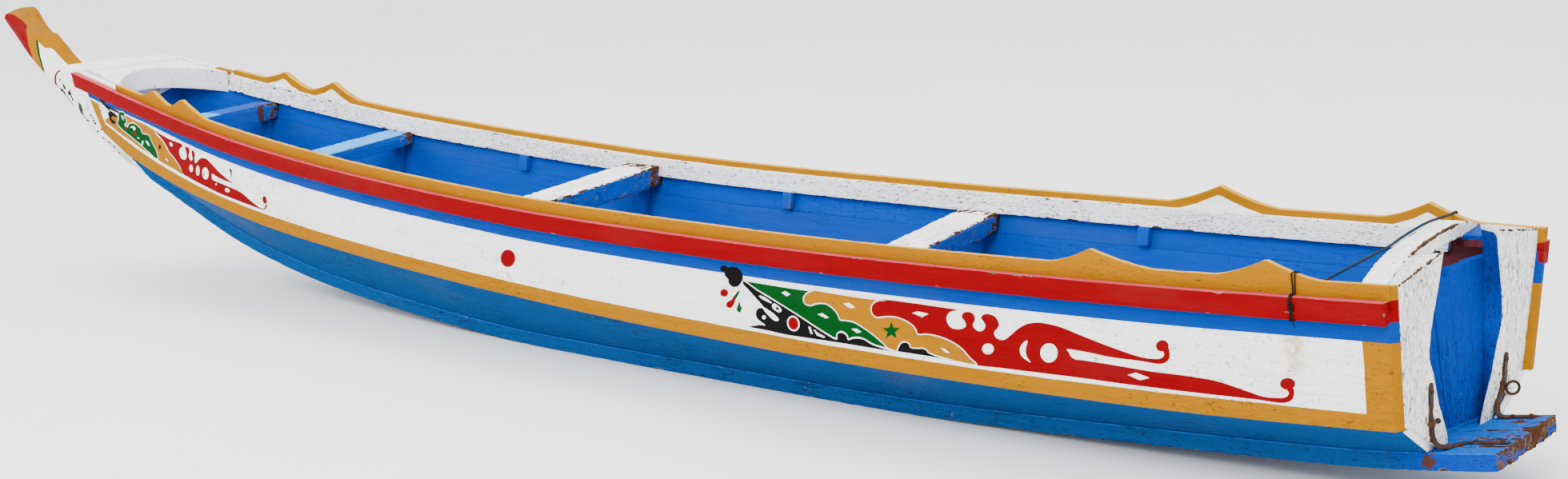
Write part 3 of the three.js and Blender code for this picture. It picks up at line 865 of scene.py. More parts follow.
@dataclass(frozen=True)
class Painted(Finish):
    """Weathered paint on wood, in one or more zones."""

    name: str
    base: Paint
    zones: tuple[Zone, ...] = ()
    grain: Grain = Grain.ALONG
    wear: Wear = Wear()
    stain: Paint = Paint.RUST
    seed: float = 0.0

    def lay(self, n: Nodes) -> None:
        """Lays paint, cracks, chips, dirt and stains over each other."""
        w, draw = self.wear, self.grain.value
        patch = n.noise(2.1, 3, shift=self.seed)
        streak = n.noise(2.6, 5, draw, self.seed + 3)
        fine = n.noise(7.0, 6, draw, self.seed + 5)
        speck = n.noise(38, 5, shift=self.seed + 9)
        broken = n.noise(17, 8, tuple(1 + (d - 1) * 0.09 for d in draw), self.seed + 13)
        colour = self._zones(n, speck)
        # Patchy fading, brush marks, the grain that shows through, and painted light that brightens faces looking up
        lift = colour_of(self.base.lift)
        colour = n.mix(n.times(n.ramp(patch, 0.35, 0.72), 4 * w.fade), colour, lift, "MULTIPLY")
        colour = n.mix(n.times(n.ramp(streak, 0.42, 0.7), 0.22), colour, colour_of(0.62), "MULTIPLY")
        colour = n.mix(n.times(n.ramp(fine, 0.5, 0.72), 0.16), colour, colour_of(0.55), "MULTIPLY")
        colour = n.mix(n.times(n.upward(), 0.4), colour, lift, "MULTIPLY")
        # Fine dark cracks along the grain
        crack = n.maths("ABSOLUTE", n.minus(n.noise(3.4, 7, draw, self.seed + 21), 0.5))
        crack = n.times(n.ramp(crack, 0.0, 0.009, 1.0, 0.0), n.ramp(patch, 0.42, 0.6))
        crack = n.times(crack, w.cracks)
        colour = n.mix(n.times(crack, 0.7), colour, Paint.DARK_WOOD.value)
        tick = n.noise(46, 2, tuple(1 + (d - 1) * 0.28 for d in draw), self.seed + 61)
        few = 0.80 - 0.17 * w.ticks
        tick = n.ramp(n.plus(tick, n.times(patch, 0.12)), few, few + 0.03)
        colour = n.mix(n.times(tick, 0.85), colour, Paint.DARK_WOOD.value)
        # Chips, thicker along the edges
        near = n.ramp(n.attribute("edge"), 0.0, 14.0, 1.0, 0.0)
        lost = n.plus(broken, n.times(near, 0.17 * w.edges))
        lost = n.plus(lost, n.times(n.minus(patch, 0.5), 0.25))
        lost = n.plus(lost, n.times(n.attribute("worn"), 0.3))
        level = 0.80 - 0.2 * w.chips
        chip = n.ramp(lost, level, level + 0.012)
        bare = n.mix(n.ramp(fine, 0.4, 0.65), w.under.value, Paint.DARK_WOOD.value)
        rim = n.ramp(lost, level - 0.02, level)
        colour = n.mix(n.times(rim, 0.2), colour, Paint.WHITE.value)
        colour = n.mix(chip, colour, bare)
        # Dirt in small dark specks and wide dull patches
        least = 0.83 - 0.13 * w.grime
        dirt = n.ramp(n.plus(speck, n.times(patch, 0.3)), least, least + 0.05)
        colour = n.mix(n.times(dirt, min(1.0, 2.2 * w.grime)), colour, Paint.DARK_WOOD.value)
        wide = n.ramp(n.noise(1.1, 6, (1, 1, 2.5), self.seed + 30), 0.5, 0.75)
        colour = n.mix(n.times(wide, w.grime * 0.6), colour, Paint.GRIME.value)
        colour = self._stained(n, colour, speck)
        n.put(colour, n.shader.inputs["Base Color"])
        n.shader.inputs["Specular IOR Level"].default_value = 0.006
        rough = n.plus(n.ramp(speck, 0.3, 0.7, w.rough - 0.06, w.rough + 0.1), n.times(chip, 0.35))
        n.put(rough, n.shader.inputs["Roughness"])
        height = n.times(fine, 0.6)
        height = n.plus(height, n.times(streak, 0.5))
        height = n.plus(height, n.times(speck, 0.12))
        height = n.minus(height, n.plus(n.times(chip, 0.5), crack))
        n.relief(height, w.relief, 0.0024)

    def _zones(self, n: Nodes, speck: Socket) -> Input:
        """Lays the zones over the base colour, with hand-drawn edges."""
        colour = self.base.value
        for zone in self.zones:
            shake = n.times(n.minus(n.noise(9, 2, shift=self.seed + 41), 0.5), 5 * zone.wobble)
            value = n.plus(n.attribute(zone.attribute), shake)
            value = n.plus(value, n.times(n.minus(speck, 0.5), zone.wobble))
            share = n.ramp(value, zone.start - zone.blend, zone.start + zone.blend)
            colour = n.mix(share, colour, zone.paint.value)
        return colour

    def _stained(self, n: Nodes, colour: Input, speck: Socket) -> Socket:
        """Adds the stain where the piece's stain attribute says."""
        run = n.noise(5, 6, (3, 3, 0.5), self.seed + 51)
        share = n.times(n.attribute("stain"), n.ramp(n.plus(run, speck), 0.8, 1.15))
        if self.stain is not Paint.STAIN:
            share = n.ramp(share, 0.3, 0.36)
        return n.mix(n.times(share, 0.95, True), colour, self.stain.value)


def colour_of(grey: float) -> Colour:
    """A grey."""
    return (grey, grey, grey)


@dataclass(frozen=True)
class RustyIron(Finish):
    """Old iron under brown rust, with traces of paint."""

    name: str
    seed: float = 0.0

    def lay(self, n: Nodes) -> None:
        """Lays rust, pits and traces of paint."""
        pit = n.noise(95, 8, shift=self.seed)
        bloom = n.noise(22, 5, shift=self.seed + 4)
        colour = n.mix(n.ramp(bloom, 0.35, 0.65), Paint.IRON.value, Paint.RUST.value)
        colour = n.mix(n.ramp(pit, 0.45, 0.7), colour, Paint.DARK_WOOD.value)
        flake = n.ramp(n.noise(30, 4, shift=self.seed + 9), 0.62, 0.68, 0.0, 0.25)
        colour = n.mix(flake, colour, Paint.PALE_WOOD.value)
        n.put(colour, n.shader.inputs["Base Color"])
        n.put(n.ramp(bloom, 0.3, 0.7, 0.45, 0.85), n.shader.inputs["Roughness"])
        n.put(n.ramp(pit, 0.35, 0.6, 0.15, 0.02), n.shader.inputs["Metallic"])
        n.shader.inputs["Specular IOR Level"].default_value = 0.12
        n.relief(n.plus(pit, bloom), 0.7, 0.0015)


@dataclass(frozen=True)
class LaidRope(Finish):
    """A worn, salt-stiff rope."""

    name: str
    first: Colour
    second: Colour

    def lay(self, n: Nodes) -> None:
        """Lays two colours, fibres and painted shade in the grooves between the strands."""
        fibre = n.noise(420, 6)
        colour = n.mix(n.ramp(n.noise(3.2, 3), 0.42, 0.6), self.first, self.second)
        colour = n.mix(n.ramp(fibre, 0.35, 0.75, 0.0, 0.5), colour, Paint.DARK_WOOD.value)
        # Painted shade in the grooves between the strands
        colour = n.mix(n.ramp(n.attribute("groove"), 0.0, 1.0, 0.75, 0.0), colour, Paint.BLACK.value)
        n.put(colour, n.shader.inputs["Base Color"])
        n.shader.inputs["Specular IOR Level"].default_value = 0.03
        n.put(n.ramp(fibre, 0.3, 0.7, 0.75, 0.95), n.shader.inputs["Roughness"])
        n.relief(fibre, 0.6, 0.0008)


# Planking


@dataclass(frozen=True)
class Board:
    """A board along the ship's side, between two insets from the outer face of the planking."""

    top: Line
    bottom: Line
    outer: float
    inner: float
    step: float = 34.0
    across: float = 15.0

    def place(self, side: Side) -> Place:
        """Gives the point along, down and through the board."""

        def at(x: Array, down: Array, inward: Array) -> Array:
            """The point."""
            x = side.trimmed(x, inward)
            high, low = self.top(x), self.bottom(x)
            z = high + (low - high) * down
            return np.stack([x, side.value * HULL.side_half(x, z, inward), z], 1)

        return at

    def form(self, side: Side, span: tuple[float, float]) -> Form:
        """The board's surface on one side, over a span along the boat."""
        middle = sum(span) / 2
        rows = max(2, int(abs(self.top(middle) - self.bottom(middle)) / self.across) + 1)
        through = steps(self.outer, self.inner, 11)
        return block(self.place(side), steps(*span, self.step), shares(rows + 1), through)


def below(points: Array) -> Array:
    """Depth of points below the gunwale."""
    return HULL.top(points[:, 0]) - points[:, 2]


def inset(points: Array) -> Array:
    """How far points lie inside the planking's outer face."""
    return HULL.side_half(points[:, 0], points[:, 2]) - abs(points[:, 1])


@dataclass
class Planking:
    """Side planks, bottom planks, rub rails, crest boards and inwales."""

    shop: Workshop
    sheer_bottom: float = 194.0
    crest_bottom: float = 80.0
    rail_top: float = 50.0
    rail_height: float = 82.0
    rail_out: float = 34.0
    rail_taper: float = 0.55
    rail_bow_end: float = 7785.0
    inwale_top: float = 24.0
    inwale_bottom: float = 106.0
    inwale_thick: float = 32.0
    inwale_start: float = 508.0
    inwale_end: float = 7360.0
    stern_stripe: float = 356.0
    crest_rim: float = 36.0
    finishes: dict[str, Material] = field(default_factory=dict)

    def rail(self, x: Array) -> Array:
        """Height of the rub rail's top."""
        return HULL.top(x) - self.rail_top * (1 - self.rail_taper * smoothstep(x, 6000, BOW_X))

    def seam(self, x: Array) -> Array:
        """Height of the seam between the sheer strake and the side strake."""
        return HULL.top(x) - np.minimum(self.sheer_bottom, 0.44 * HULL.depth(x))

    def sheer_top(self, x: Array) -> Array:
        """Height of the sheer strake's top, which climbs to the deck forward of the crest boards."""
        return HULL.top(x) - np.where(x > self.inwale_end + 0.5, 14.0, self.crest_bottom + GAP)

    def paints(self) -> None:
        """Makes the planking's finishes."""
        inside = Zone(Paint.INSIDE_BLUE, "inside")
        sides = Wear(chips=0.12, edges=0.35, cracks=0.6, fade=0.1, grime=0.2, rough=0.4)
        make = {
            "side": Painted(
                "topside_paint",
                Paint.WHITE,
                (
                    Zone(Paint.YELLOW, "band"),
                    Zone(Paint.YELLOW, "stern"),
                    Zone(Paint.YELLOW, "bow"),
                    Zone(Paint.WHITE, "stem"),
                    inside,
                ),
                wear=sides,
                stain=Paint.STAIN,
                seed=1,
            ),
            "sheer": Painted(
                "sheer_paint",
                Paint.BAND_BLUE,
                (
                    Zone(Paint.WHITE, "panel"),
                    Zone(Paint.RED, "rail_end"),
                    Zone(Paint.WHITE, "stem"),
                    inside,
                    Zone(Paint.WHITE, "deck"),
                    Zone(Paint.YELLOW, "rim_ahead", wobble=5),
                    # Painted shade on the inside of the starboard planking, in the hollow behind the crossbeam
                    Zone(Paint.RECESS, "recess", wobble=8),
                ),
                wear=sides,
                seed=2,
            ),
            "bottom": Painted(
                "bottom_paint",
                Paint.DEEP_BLUE,
                (inside, Zone(Paint.WHITE, "end", wobble=0.2), Zone(Paint.WHITE, "forefoot", wobble=6)),
                wear=Wear(chips=0.1, edges=0.3, cracks=0.8, fade=0.06, grime=0.3, ticks=0.7, rough=0.5, relief=0.7),
                seed=3,
            ),
            "crest": Painted(
                "crest_paint",
                Paint.YELLOW,
                (
                    Zone(Paint.WHITE, "inner"),
                    # Painted highlight: a paler yellow on the crest board's top face, where the light falls
                    Zone(Paint.PALE_YELLOW, "upper", wobble=0.8, blend=1.0),
                    Zone(Paint.RED, "rail_end", wobble=0.4),
                    # Painted shade on the starboard crest board, in the hollow behind the crossbeam
                    Zone(Paint.RECESS, "recess", wobble=8),
                ),
                wear=Wear(chips=0.2, edges=0.45, cracks=0.35, fade=0.05, grime=0.14, rough=0.42),
                seed=4,
            ),
            "rail": Painted(
                "rail_paint",
                Paint.RED,
                # Painted highlight: a paler red on the rail's top face, where the light falls
                (Zone(Paint.PINK, "upper", wobble=0.8, blend=1.0),),
                wear=Wear(chips=0.2, edges=0.7, cracks=0.3, fade=0.05, grime=0.1, under=Paint.PALE_WOOD, rough=0.36),
                seed=5,
            ),
            "inwale": Painted(
                "inwale_paint",
                Paint.WHITE,
                wear=Wear(chips=0.5, edges=0.85, cracks=0.9, fade=0.05, grime=0.3, ticks=0.9, rough=0.5, relief=0.8),
                seed=6,
            ),
        }
        self.finishes = {key: paint.build() for key, paint in make.items()}

    def build(self) -> None:
        """Builds the planking on both sides."""
        self.paints()
        for side in Side:
            self._side(side)
            for length in LENGTHS:
                self._strakes(side, length)

    def _side(self, side: Side) -> None:
        """The boards along one side."""
        end, sides = side.stern, CRESTS[side]
        crest_top = lambda x: HULL.top(x) + crest_height(x, sides)
        boards = {
            "rub_rail": Board(self.rail, lambda x: self.rail(x) - self.rail_height, -self.rail_out, -GAP, across=12),
            "crest_board": Board(crest_top, lambda x: HULL.top(x) - self.crest_bottom, 0, PLANK, step=15, across=13),
            "inwale": Board(
                lambda x: HULL.top(x) - self.inwale_top,
                lambda x: HULL.top(x) - self.inwale_bottom,
                PLANK + GAP,
                PLANK + self.inwale_thick,
                across=14,
            ),
        }
        spans = {
            "rub_rail": (end, self.rail_bow_end),
            "crest_board": (end, self.inwale_end),
            "inwale": (self.inwale_start, self.inwale_end),
        }
        rusty = (
            (end + 12, 650, 745, 24), (end + 45, 650, 690, 18), (565, 650, 700, 14), (7420, 425, 1020, 14),
            (7160, 450, 985, 12),
        )
        measures: dict[str, dict[str, Measure]] = {
            # upper: how far up onto the rail's top face, which takes the painted highlight
            "rub_rail": {"worn": lambda p: 0.8 * blobs(p, rusty), "upper": lambda p: p[:, 2] - self.rail(p[:, 0]) + 3},
            "crest_board": {
                "inner": lambda p: np.minimum.reduce(
                    [inset(p) - 24, crest_top(p[:, 0]) - p[:, 2] - self.crest_rim, p[:, 0] - side.stern - 10]
                ),
                # upper: how far onto the crest board's top face, which takes the painted highlight
                "upper": lambda p: np.minimum(p[:, 2] - crest_top(p[:, 0]) + 3, inset(p) - 6),
                "rail_end": lambda p: np.minimum(side.on_end(p), below(p) - 50),
                # How far inside the painted shade behind the crossbeam, on the starboard side
                "recess": lambda p: self._recess(p, side),
            },
            "inwale": {},
        }
        looks = {
            "rub_rail": ("rail", Slot.RED, Surface(round=4, nibble=4)),
            "crest_board": ("crest", Slot.YELLOW, Surface(round=4, nibble=2, crease=40)),
            "inwale": ("inwale", Slot.WHITE, Surface(round=3, nibble=3)),
        }
        for node, board in boards.items():
            finish, slot, surface = looks[node]
            name = f"{node}_{side.word}"
            self.shop.dress(name, board.form(side, spans[node]), self.finishes[finish], slot, surface, measures[node])

    def _recess(self, points: Array, side: Side) -> Array:
        """How far inside the painted shade of the corner behind the crossbeam points are, on the starboard side."""
        if side is Side.PORT:
            return np.full(len(points), NOWHERE)
        x, z = points[:, 0], points[:, 2]
        return np.minimum.reduce([560 - x, x - 262, inset(points) - 20, 755 - z])

    def _strakes(self, side: Side, length: Length) -> None:
        """One length of the side strake, of the sheer strake and of the bottom plank."""
        start, end = length.span(side)
        deep = lambda p: np.minimum(inset(p) - 20, p[:, 0] - side.stern - 14)
        stem = lambda p: p[:, 0] - 7751 + 0.31 * below(p)
        strake = Board(lambda x: self.seam(x) - GAP, HULL.chine, 0, PLANK)
        spots = ((575, 600, 605, 26), (590, 590, 560, 24), (545, 600, 590, 18), (585, 590, 500, 26))
        on_strake = {
            "band": lambda p: below(p) - WHITE_TO_YELLOW(p[:, 0]),
            "stern": lambda p: self.stern_stripe - p[:, 0],
            "bow": lambda p: p[:, 0] - 7654 + 0.225 * below(p),
            "stem": lambda p: np.maximum(stem(p), below(p) - 318 + 0.33 * (p[:, 0] - 7669)),
            "inside": deep,
            "stain": lambda p: 1.1 * blobs(p, spots),
        }
        on_sheer = {
            "panel": lambda p: below(p) - BLUE_TO_WHITE(p[:, 0]),
            "rail_end": lambda p: np.minimum(side.on_end(p), 124 - below(p)),
            "stem": stem,
            "inside": deep,
            "deck": lambda p: np.minimum(
                np.minimum(p[:, 0] - self.inwale_end - 2, self.inwale_bottom - below(p)),
                np.maximum(inset(p) - 8, p[:, 2] - self.rail(p[:, 0]) + 35),
            ),
            "rim_ahead": lambda p: np.full(len(p), NOWHERE)
            if side is Side.PORT
            else np.minimum(7500 - p[:, 0], np.minimum(p[:, 0] - self.inwale_end - 2, 36 - below(p))),
            # How far inside the painted shade behind the crossbeam, on the starboard side
            "recess": lambda p: self._recess(p, side),
        }
        on_bottom = {
            "inside": self._bottom_depth,
            "end": lambda p: side.stern + (1.2 if side is Side.PORT else 12.0) - p[:, 0],
            "forefoot": lambda p: p[:, 0] - 7515 - 190 * self._bottom_share(p),
        }
        surface = Surface(round=2, butts=BUTTS)
        x = steps(start, end, 34)
        if end > self.inwale_end:
            x = np.concatenate([steps(start, self.inwale_end, 34), steps(self.inwale_end + 1, end, 34)])
        sheer = block(Board(self.sheer_top, self.seam, 0, PLANK).place(side), x, shares(10), steps(0, PLANK, 11))
        bottom = block(self._bottom(side), steps(start, end, 34), shares(16), shares(3))
        for node, form, finish, slot, measures in (
            ("side_strake", strake.form(side, (start, end)), "side", Slot.WHITE, on_strake),
            ("sheer_strake", sheer, "sheer", Slot.BLUE, on_sheer),
            ("bottom_plank", bottom, "bottom", Slot.DEEP_BLUE, on_bottom),
        ):
            name = f"{node}_{length.name}_{side.word}"
            self.shop.dress(name, form, self.finishes[finish], slot, surface, measures)

    @staticmethod
    def _bottom(side: Side) -> Place:
        """The sloping bottom plank."""

        def place(x: Array, down: Array, inward: Array) -> Array:
            """A point along, down and through the plank."""
            high, low, breadth = HULL.bottom_edge(x)
            top, foot = HULL.chine(x) - GAP, HULL.keel_top(x) + GAP
            half = np.maximum(high + (low - high) * down - breadth * inward, 4)
            return np.stack([x, side.value * half, top + (foot - top) * down], 1)

        return place

    @staticmethod
    def _bottom_share(p: Array) -> Array:
        """How far down the bottom plank points are, from 0 at the chine to 1 at the log."""
        return (HULL.chine(p[:, 0]) - p[:, 2]) / (HULL.chine(p[:, 0]) - HULL.keel_top(p[:, 0]))

    def _bottom_depth(self, p: Array) -> Array:
        """How far points are through the bottom plank, less the part that keeps its outer paint."""
        high, low, breadth = HULL.bottom_edge(p[:, 0])
        outer = high + (low - high) * self._bottom_share(p)
        return (outer - abs(p[:, 1])) / breadth * BOTTOM_PLANK - 18


def blobs(points: Array, spots: Spots) -> Array:
    """The strongest of several round spots, each with its place and reach."""
    found = [np.exp(-(((points - np.array(s[:3])) ** 2).sum(1)) / (2 * s[3] ** 2)) for s in spots]
    return np.max(found, axis=0)


# Keel log and prow


@dataclass(frozen=True)
class ProwRow:
    """One section of the prow: ridge and shoulder on top, turn of the side, and underside."""

    x: float
    ridge: float
    shoulder: float
    half: float
    side_z: float
    side_half: float
    z: float
    bottom_half: float


PROW = (
    ProwRow(7740.5, 1108, 1104, 354, 766, 292, 557, 92),
    ProwRow(7950, 1122, 1116, 308, 850, 238, 640, 80),
    ProwRow(8140, 1098, 1088, 196, 900, 150, 738, 66),
    ProwRow(8270, 1068, 1062, 92, 950, 84, 824, 58),
    ProwRow(8400, 1126, 1116, 76, 1020, 74, 914, 54),
    ProwRow(8500, 1236, 1166, 72, 1070, 70, 974, 52),
    ProwRow(8570, 1252, 1202, 70, 1120, 68, 1022, 50),
    ProwRow(8610, 1276, 1230, 69, 1140, 67, 1042, 48),
    ProwRow(8680, 1366, 1280, 68, 1184, 66, 1090, 46),
    ProwRow(8725, 1390, 1306, 67, 1210, 65, 1122, 44),
    ProwRow(8850, 1374, 1346, 62, 1286, 60, 1230, 40),
    ProwRow(8930, 1352, 1344, 52, 1324, 50, 1296, 38),
)
RIDGE_HALF = 20.0


@dataclass
class Backbone:
    """The keel log and the prow timber."""

    shop: Workshop
    seams: tuple[float, ...] = (-168.0, -44.0, 76.0, 182.0)
    crown_half: float = 50.0
    seam_width: float = 5.0
    seam_depth: float = 7.0
    bare_end: float = 11.0
    bare_spots: Spots = (
        (70, 138, 222, 50), (120, 225, 215, 30), (60, -240, 222, 40), (35, -90, 226, 34), (150, 60, 208, 26),
        (95, -160, 216, 24), (170, 180, 206, 22), (205, 262, 150, 26), (60, 20, 220, 24),
    )

    def build(self) -> None:
        """Builds both timbers."""
        self._log()
        self._prow()

    def _log(self) -> None:
        """The keel log, of boards whose seams show aft, with a ragged aft end."""
        finish = Painted(
            "log_paint",
            Paint.DEEP_BLUE,
            (
                # Painted light and shade: a brighter blue at the aft end, fading into deep blue forward where the log
                # lies in shade under the hull
                Zone(Paint.BLUE, "aft", wobble=10, blend=110),
                # Painted light: a brighter blue on the log's upper face
                Zone(Paint.TOP_BLUE, "upper"),
                Zone(Paint.WHITE, "forefoot", wobble=5),
                Zone(Paint.WOOD, "bare", wobble=13, blend=2),
            ),
            wear=Wear(chips=0.25, edges=0.6, cracks=0.8, fade=0.05, grime=0.3, ticks=0.7, rough=0.5, relief=0.9),
            seed=7,
        ).build()
        lanes = np.unique(
            np.concatenate(
                [spread(29)]
                + [(s + np.array([-3.2, -1, -0.4, 0.4, 1, 3.2]) * self.seam_width) / LOG_HALF for s in self.seams]
            )
        )

        def near(y: Array, x: Array) -> Array:
            """Distance from the nearest seam."""
            across = y / HULL.keel_half(x) * LOG_HALF
            return np.min([abs(across - s) for s in self.seams], axis=0)

        def place(x: Array, across: Array, up: Array) -> Array:
            """A point along, across and up the log."""
            y = across * HULL.keel_half(x)
            z = HULL.keel_z(x) + KEEL_DEPTH * up
            seam = near(y, x)
            aft = 1 - smoothstep(x, 150, 320)
            z = z - np.where(up > 0.99, self.seam_depth * aft * (seam < self.seam_width * 0.6), 0)
            board = np.searchsorted(self.seams, across * LOG_HALF)
            ragged = np.array([max(0.0, waver((0, v, w), 38) + 0.2) for v, w in zip(y, z)])
            ragged = ragged * 11 + 5 * (seam < self.seam_width) + np.array([5, 0, 3, 0, 4])[board]
            return np.stack([x + ragged * (1 - smoothstep(x, 0, 60)), y, z], 1)

        def worn(p: Array) -> Array:
            """Wear along the aft edge, along the seams near it and in blotches."""
            seams = (1 - smoothstep(p[:, 0], 70, 300)) * np.exp(-((near(p[:, 1], p[:, 0]) / 12) ** 2))
            spots = blobs(p, self.bare_spots)
            return np.maximum.reduce([0.75 * seams, 0.85 * np.exp(-p[:, 0] / 26), 0.85 * spots])

        along = np.concatenate([steps(0, 320, 10), steps(320, BOW_X, 34)[1:]])
        form = block(place, along, lanes, shares(6))
        measures = {
            # upper: how far onto the log's upper face, which takes the painted light
            "upper": lambda p: p[:, 2] - HULL.keel_top(p[:, 0]) + 4,
            # aft: the painted gradient from the lit aft end into the shade forward
            "aft": lambda p: 330 - p[:, 0],
            "forefoot": lambda p: 489 + 0.55 * (p[:, 0] - 7535) - p[:, 2],
            "bare": lambda p: self.bare_end - p[:, 0] - 0.2 * (HULL.keel_top(p[:, 0]) - p[:, 2]),
            "worn": worn,
            "stain": lambda p: blobs(
                p,
                (
                    (60, 138, 222, 40),
                    (130, 150, 214, 30),
                    (90, -235, 218, 42),
                    (10, -60, 225, 34),
                    (10, 60, 228, 30),
                    (240, 262, 165, 26),
                ),
            ),
        }
        self.shop.dress("keel_log", form, finish, Slot.DEEP_BLUE, Surface(round=4, nibble=4, crease=50), measures)

    def _prow(self) -> None:
        """The prow timber with its spur."""
        at = [r.x for r in PROW]
        line = {k: smooth_line(at, [getattr(r, k) for r in PROW]) for k in list(ProwRow.__dataclass_fields__)[1:]}
        finish = Painted(
            "prow_paint",
            Paint.WHITE,
            (
                Zone(Paint.GREEN, "green"),
                Zone(Paint.YELLOW, "tip"),
                Zone(Paint.YELLOW, "crown"),
                Zone(Paint.RED, "red"),
                Zone(Paint.INSIDE_BLUE, "back", wobble=0.4),
            ),
            wear=Wear(chips=0.15, edges=0.4, cracks=0.5, fade=0.05, grime=0.25, rough=0.45),
            seed=8,
        ).build()

        def ring(x: float) -> Array:
            """The prow's outline at a place."""
            v = {k: float(f(x)) for k, f in line.items()}
            tip = float(smoothstep(x, 8590, 8670))
            corners = [
                (RIDGE_HALF, v["ridge"]),
                (v["half"] - 2 - 7 * tip, v["shoulder"]),
                (v["half"] - 0.3, v["shoulder"] - 3 - 23 * tip),
                (v["side_half"], v["side_z"]),
                (v["bottom_half"], v["z"]),
            ]
            half = []
            for (a, b), (c, d), count in zip(corners, corners[1:], (7, 1, 7, 5)):
                half += [(a + (c - a) * i / count, b + (d - b) * i / count) for i in range(count)]
            half.append(corners[-1])
            port = [(x, y, z) for y, z in half]
            return np.array(port + [(x, -y, z) for x, y, z in reversed(port)])

        places = np.concatenate([steps(at[0], 8240, 26), steps(8240, at[-1], 11)[1:]])

        def lean(p: Array) -> Array:
            """Place along the boat of the nearly upright paint lines near the tip."""
            return p[:, 0] - 0.06 * (p[:, 2] - 1200)

        def crown(p: Array) -> Array:
            """How far points are inside the yellow that runs from near the rail's end up the stem's ridge."""
            above = p[:, 2] - line["shoulder"](p[:, 0]) + 2
            broad = self.crown_half + 40 * smoothstep(p[:, 0], 8430, 8570) - abs(p[:, 1])
            return np.minimum(np.minimum(above, broad), p[:, 0] - 8215)

        measures = {
            "green": lambda p: lean(p) - 8571,
            "tip": lambda p: lean(p) - 8595,
            "red": lambda p: np.minimum(lean(p) - 8684, line["shoulder"](p[:, 0]) + 2 - p[:, 2]),
            "crown": crown,
            "back": lambda p: np.minimum.reduce([7746 - p[:, 0], below(p) - 40, p[:, 2] - 700]),
            "stain": lambda p: 0.35 * blobs(p, ((8060, 150, 760, 70), (8190, 110, 830, 60), (7900, 200, 700, 70))),
        }
        self.shop.dress(
            "prow", rings_form([ring(x) for x in places]), finish, Slot.WHITE, Surface(round=4, crease=36), measures
        )


# Beams


@dataclass(frozen=True)
class Thwart:
    """A beam across the hull, from the bow: its middle, width, depth, drop below the gunwale and skew."""

    x: float
    width: float
    depth: float
    drop: float
    skew: float
    white: bool

    @property
    def top(self) -> float:
        """Height of its upper face."""
        return float(HULL.top(self.x)) - self.drop

    @property
    def worn_from(self) -> float:
        """Half breadth from which its ends are worn bare."""
        return float(HULL.half(self.x)) - 260


THWARTS = (
    Thwart(6960, 138, 88, 100, 0.26, False),
    Thwart(5950, 172, 66, 88, 0.28, False),
    Thwart(4330, 198, 94, 54, 0.22, True),
    Thwart(2450, 184, 82, 102, 0.20, True),
)


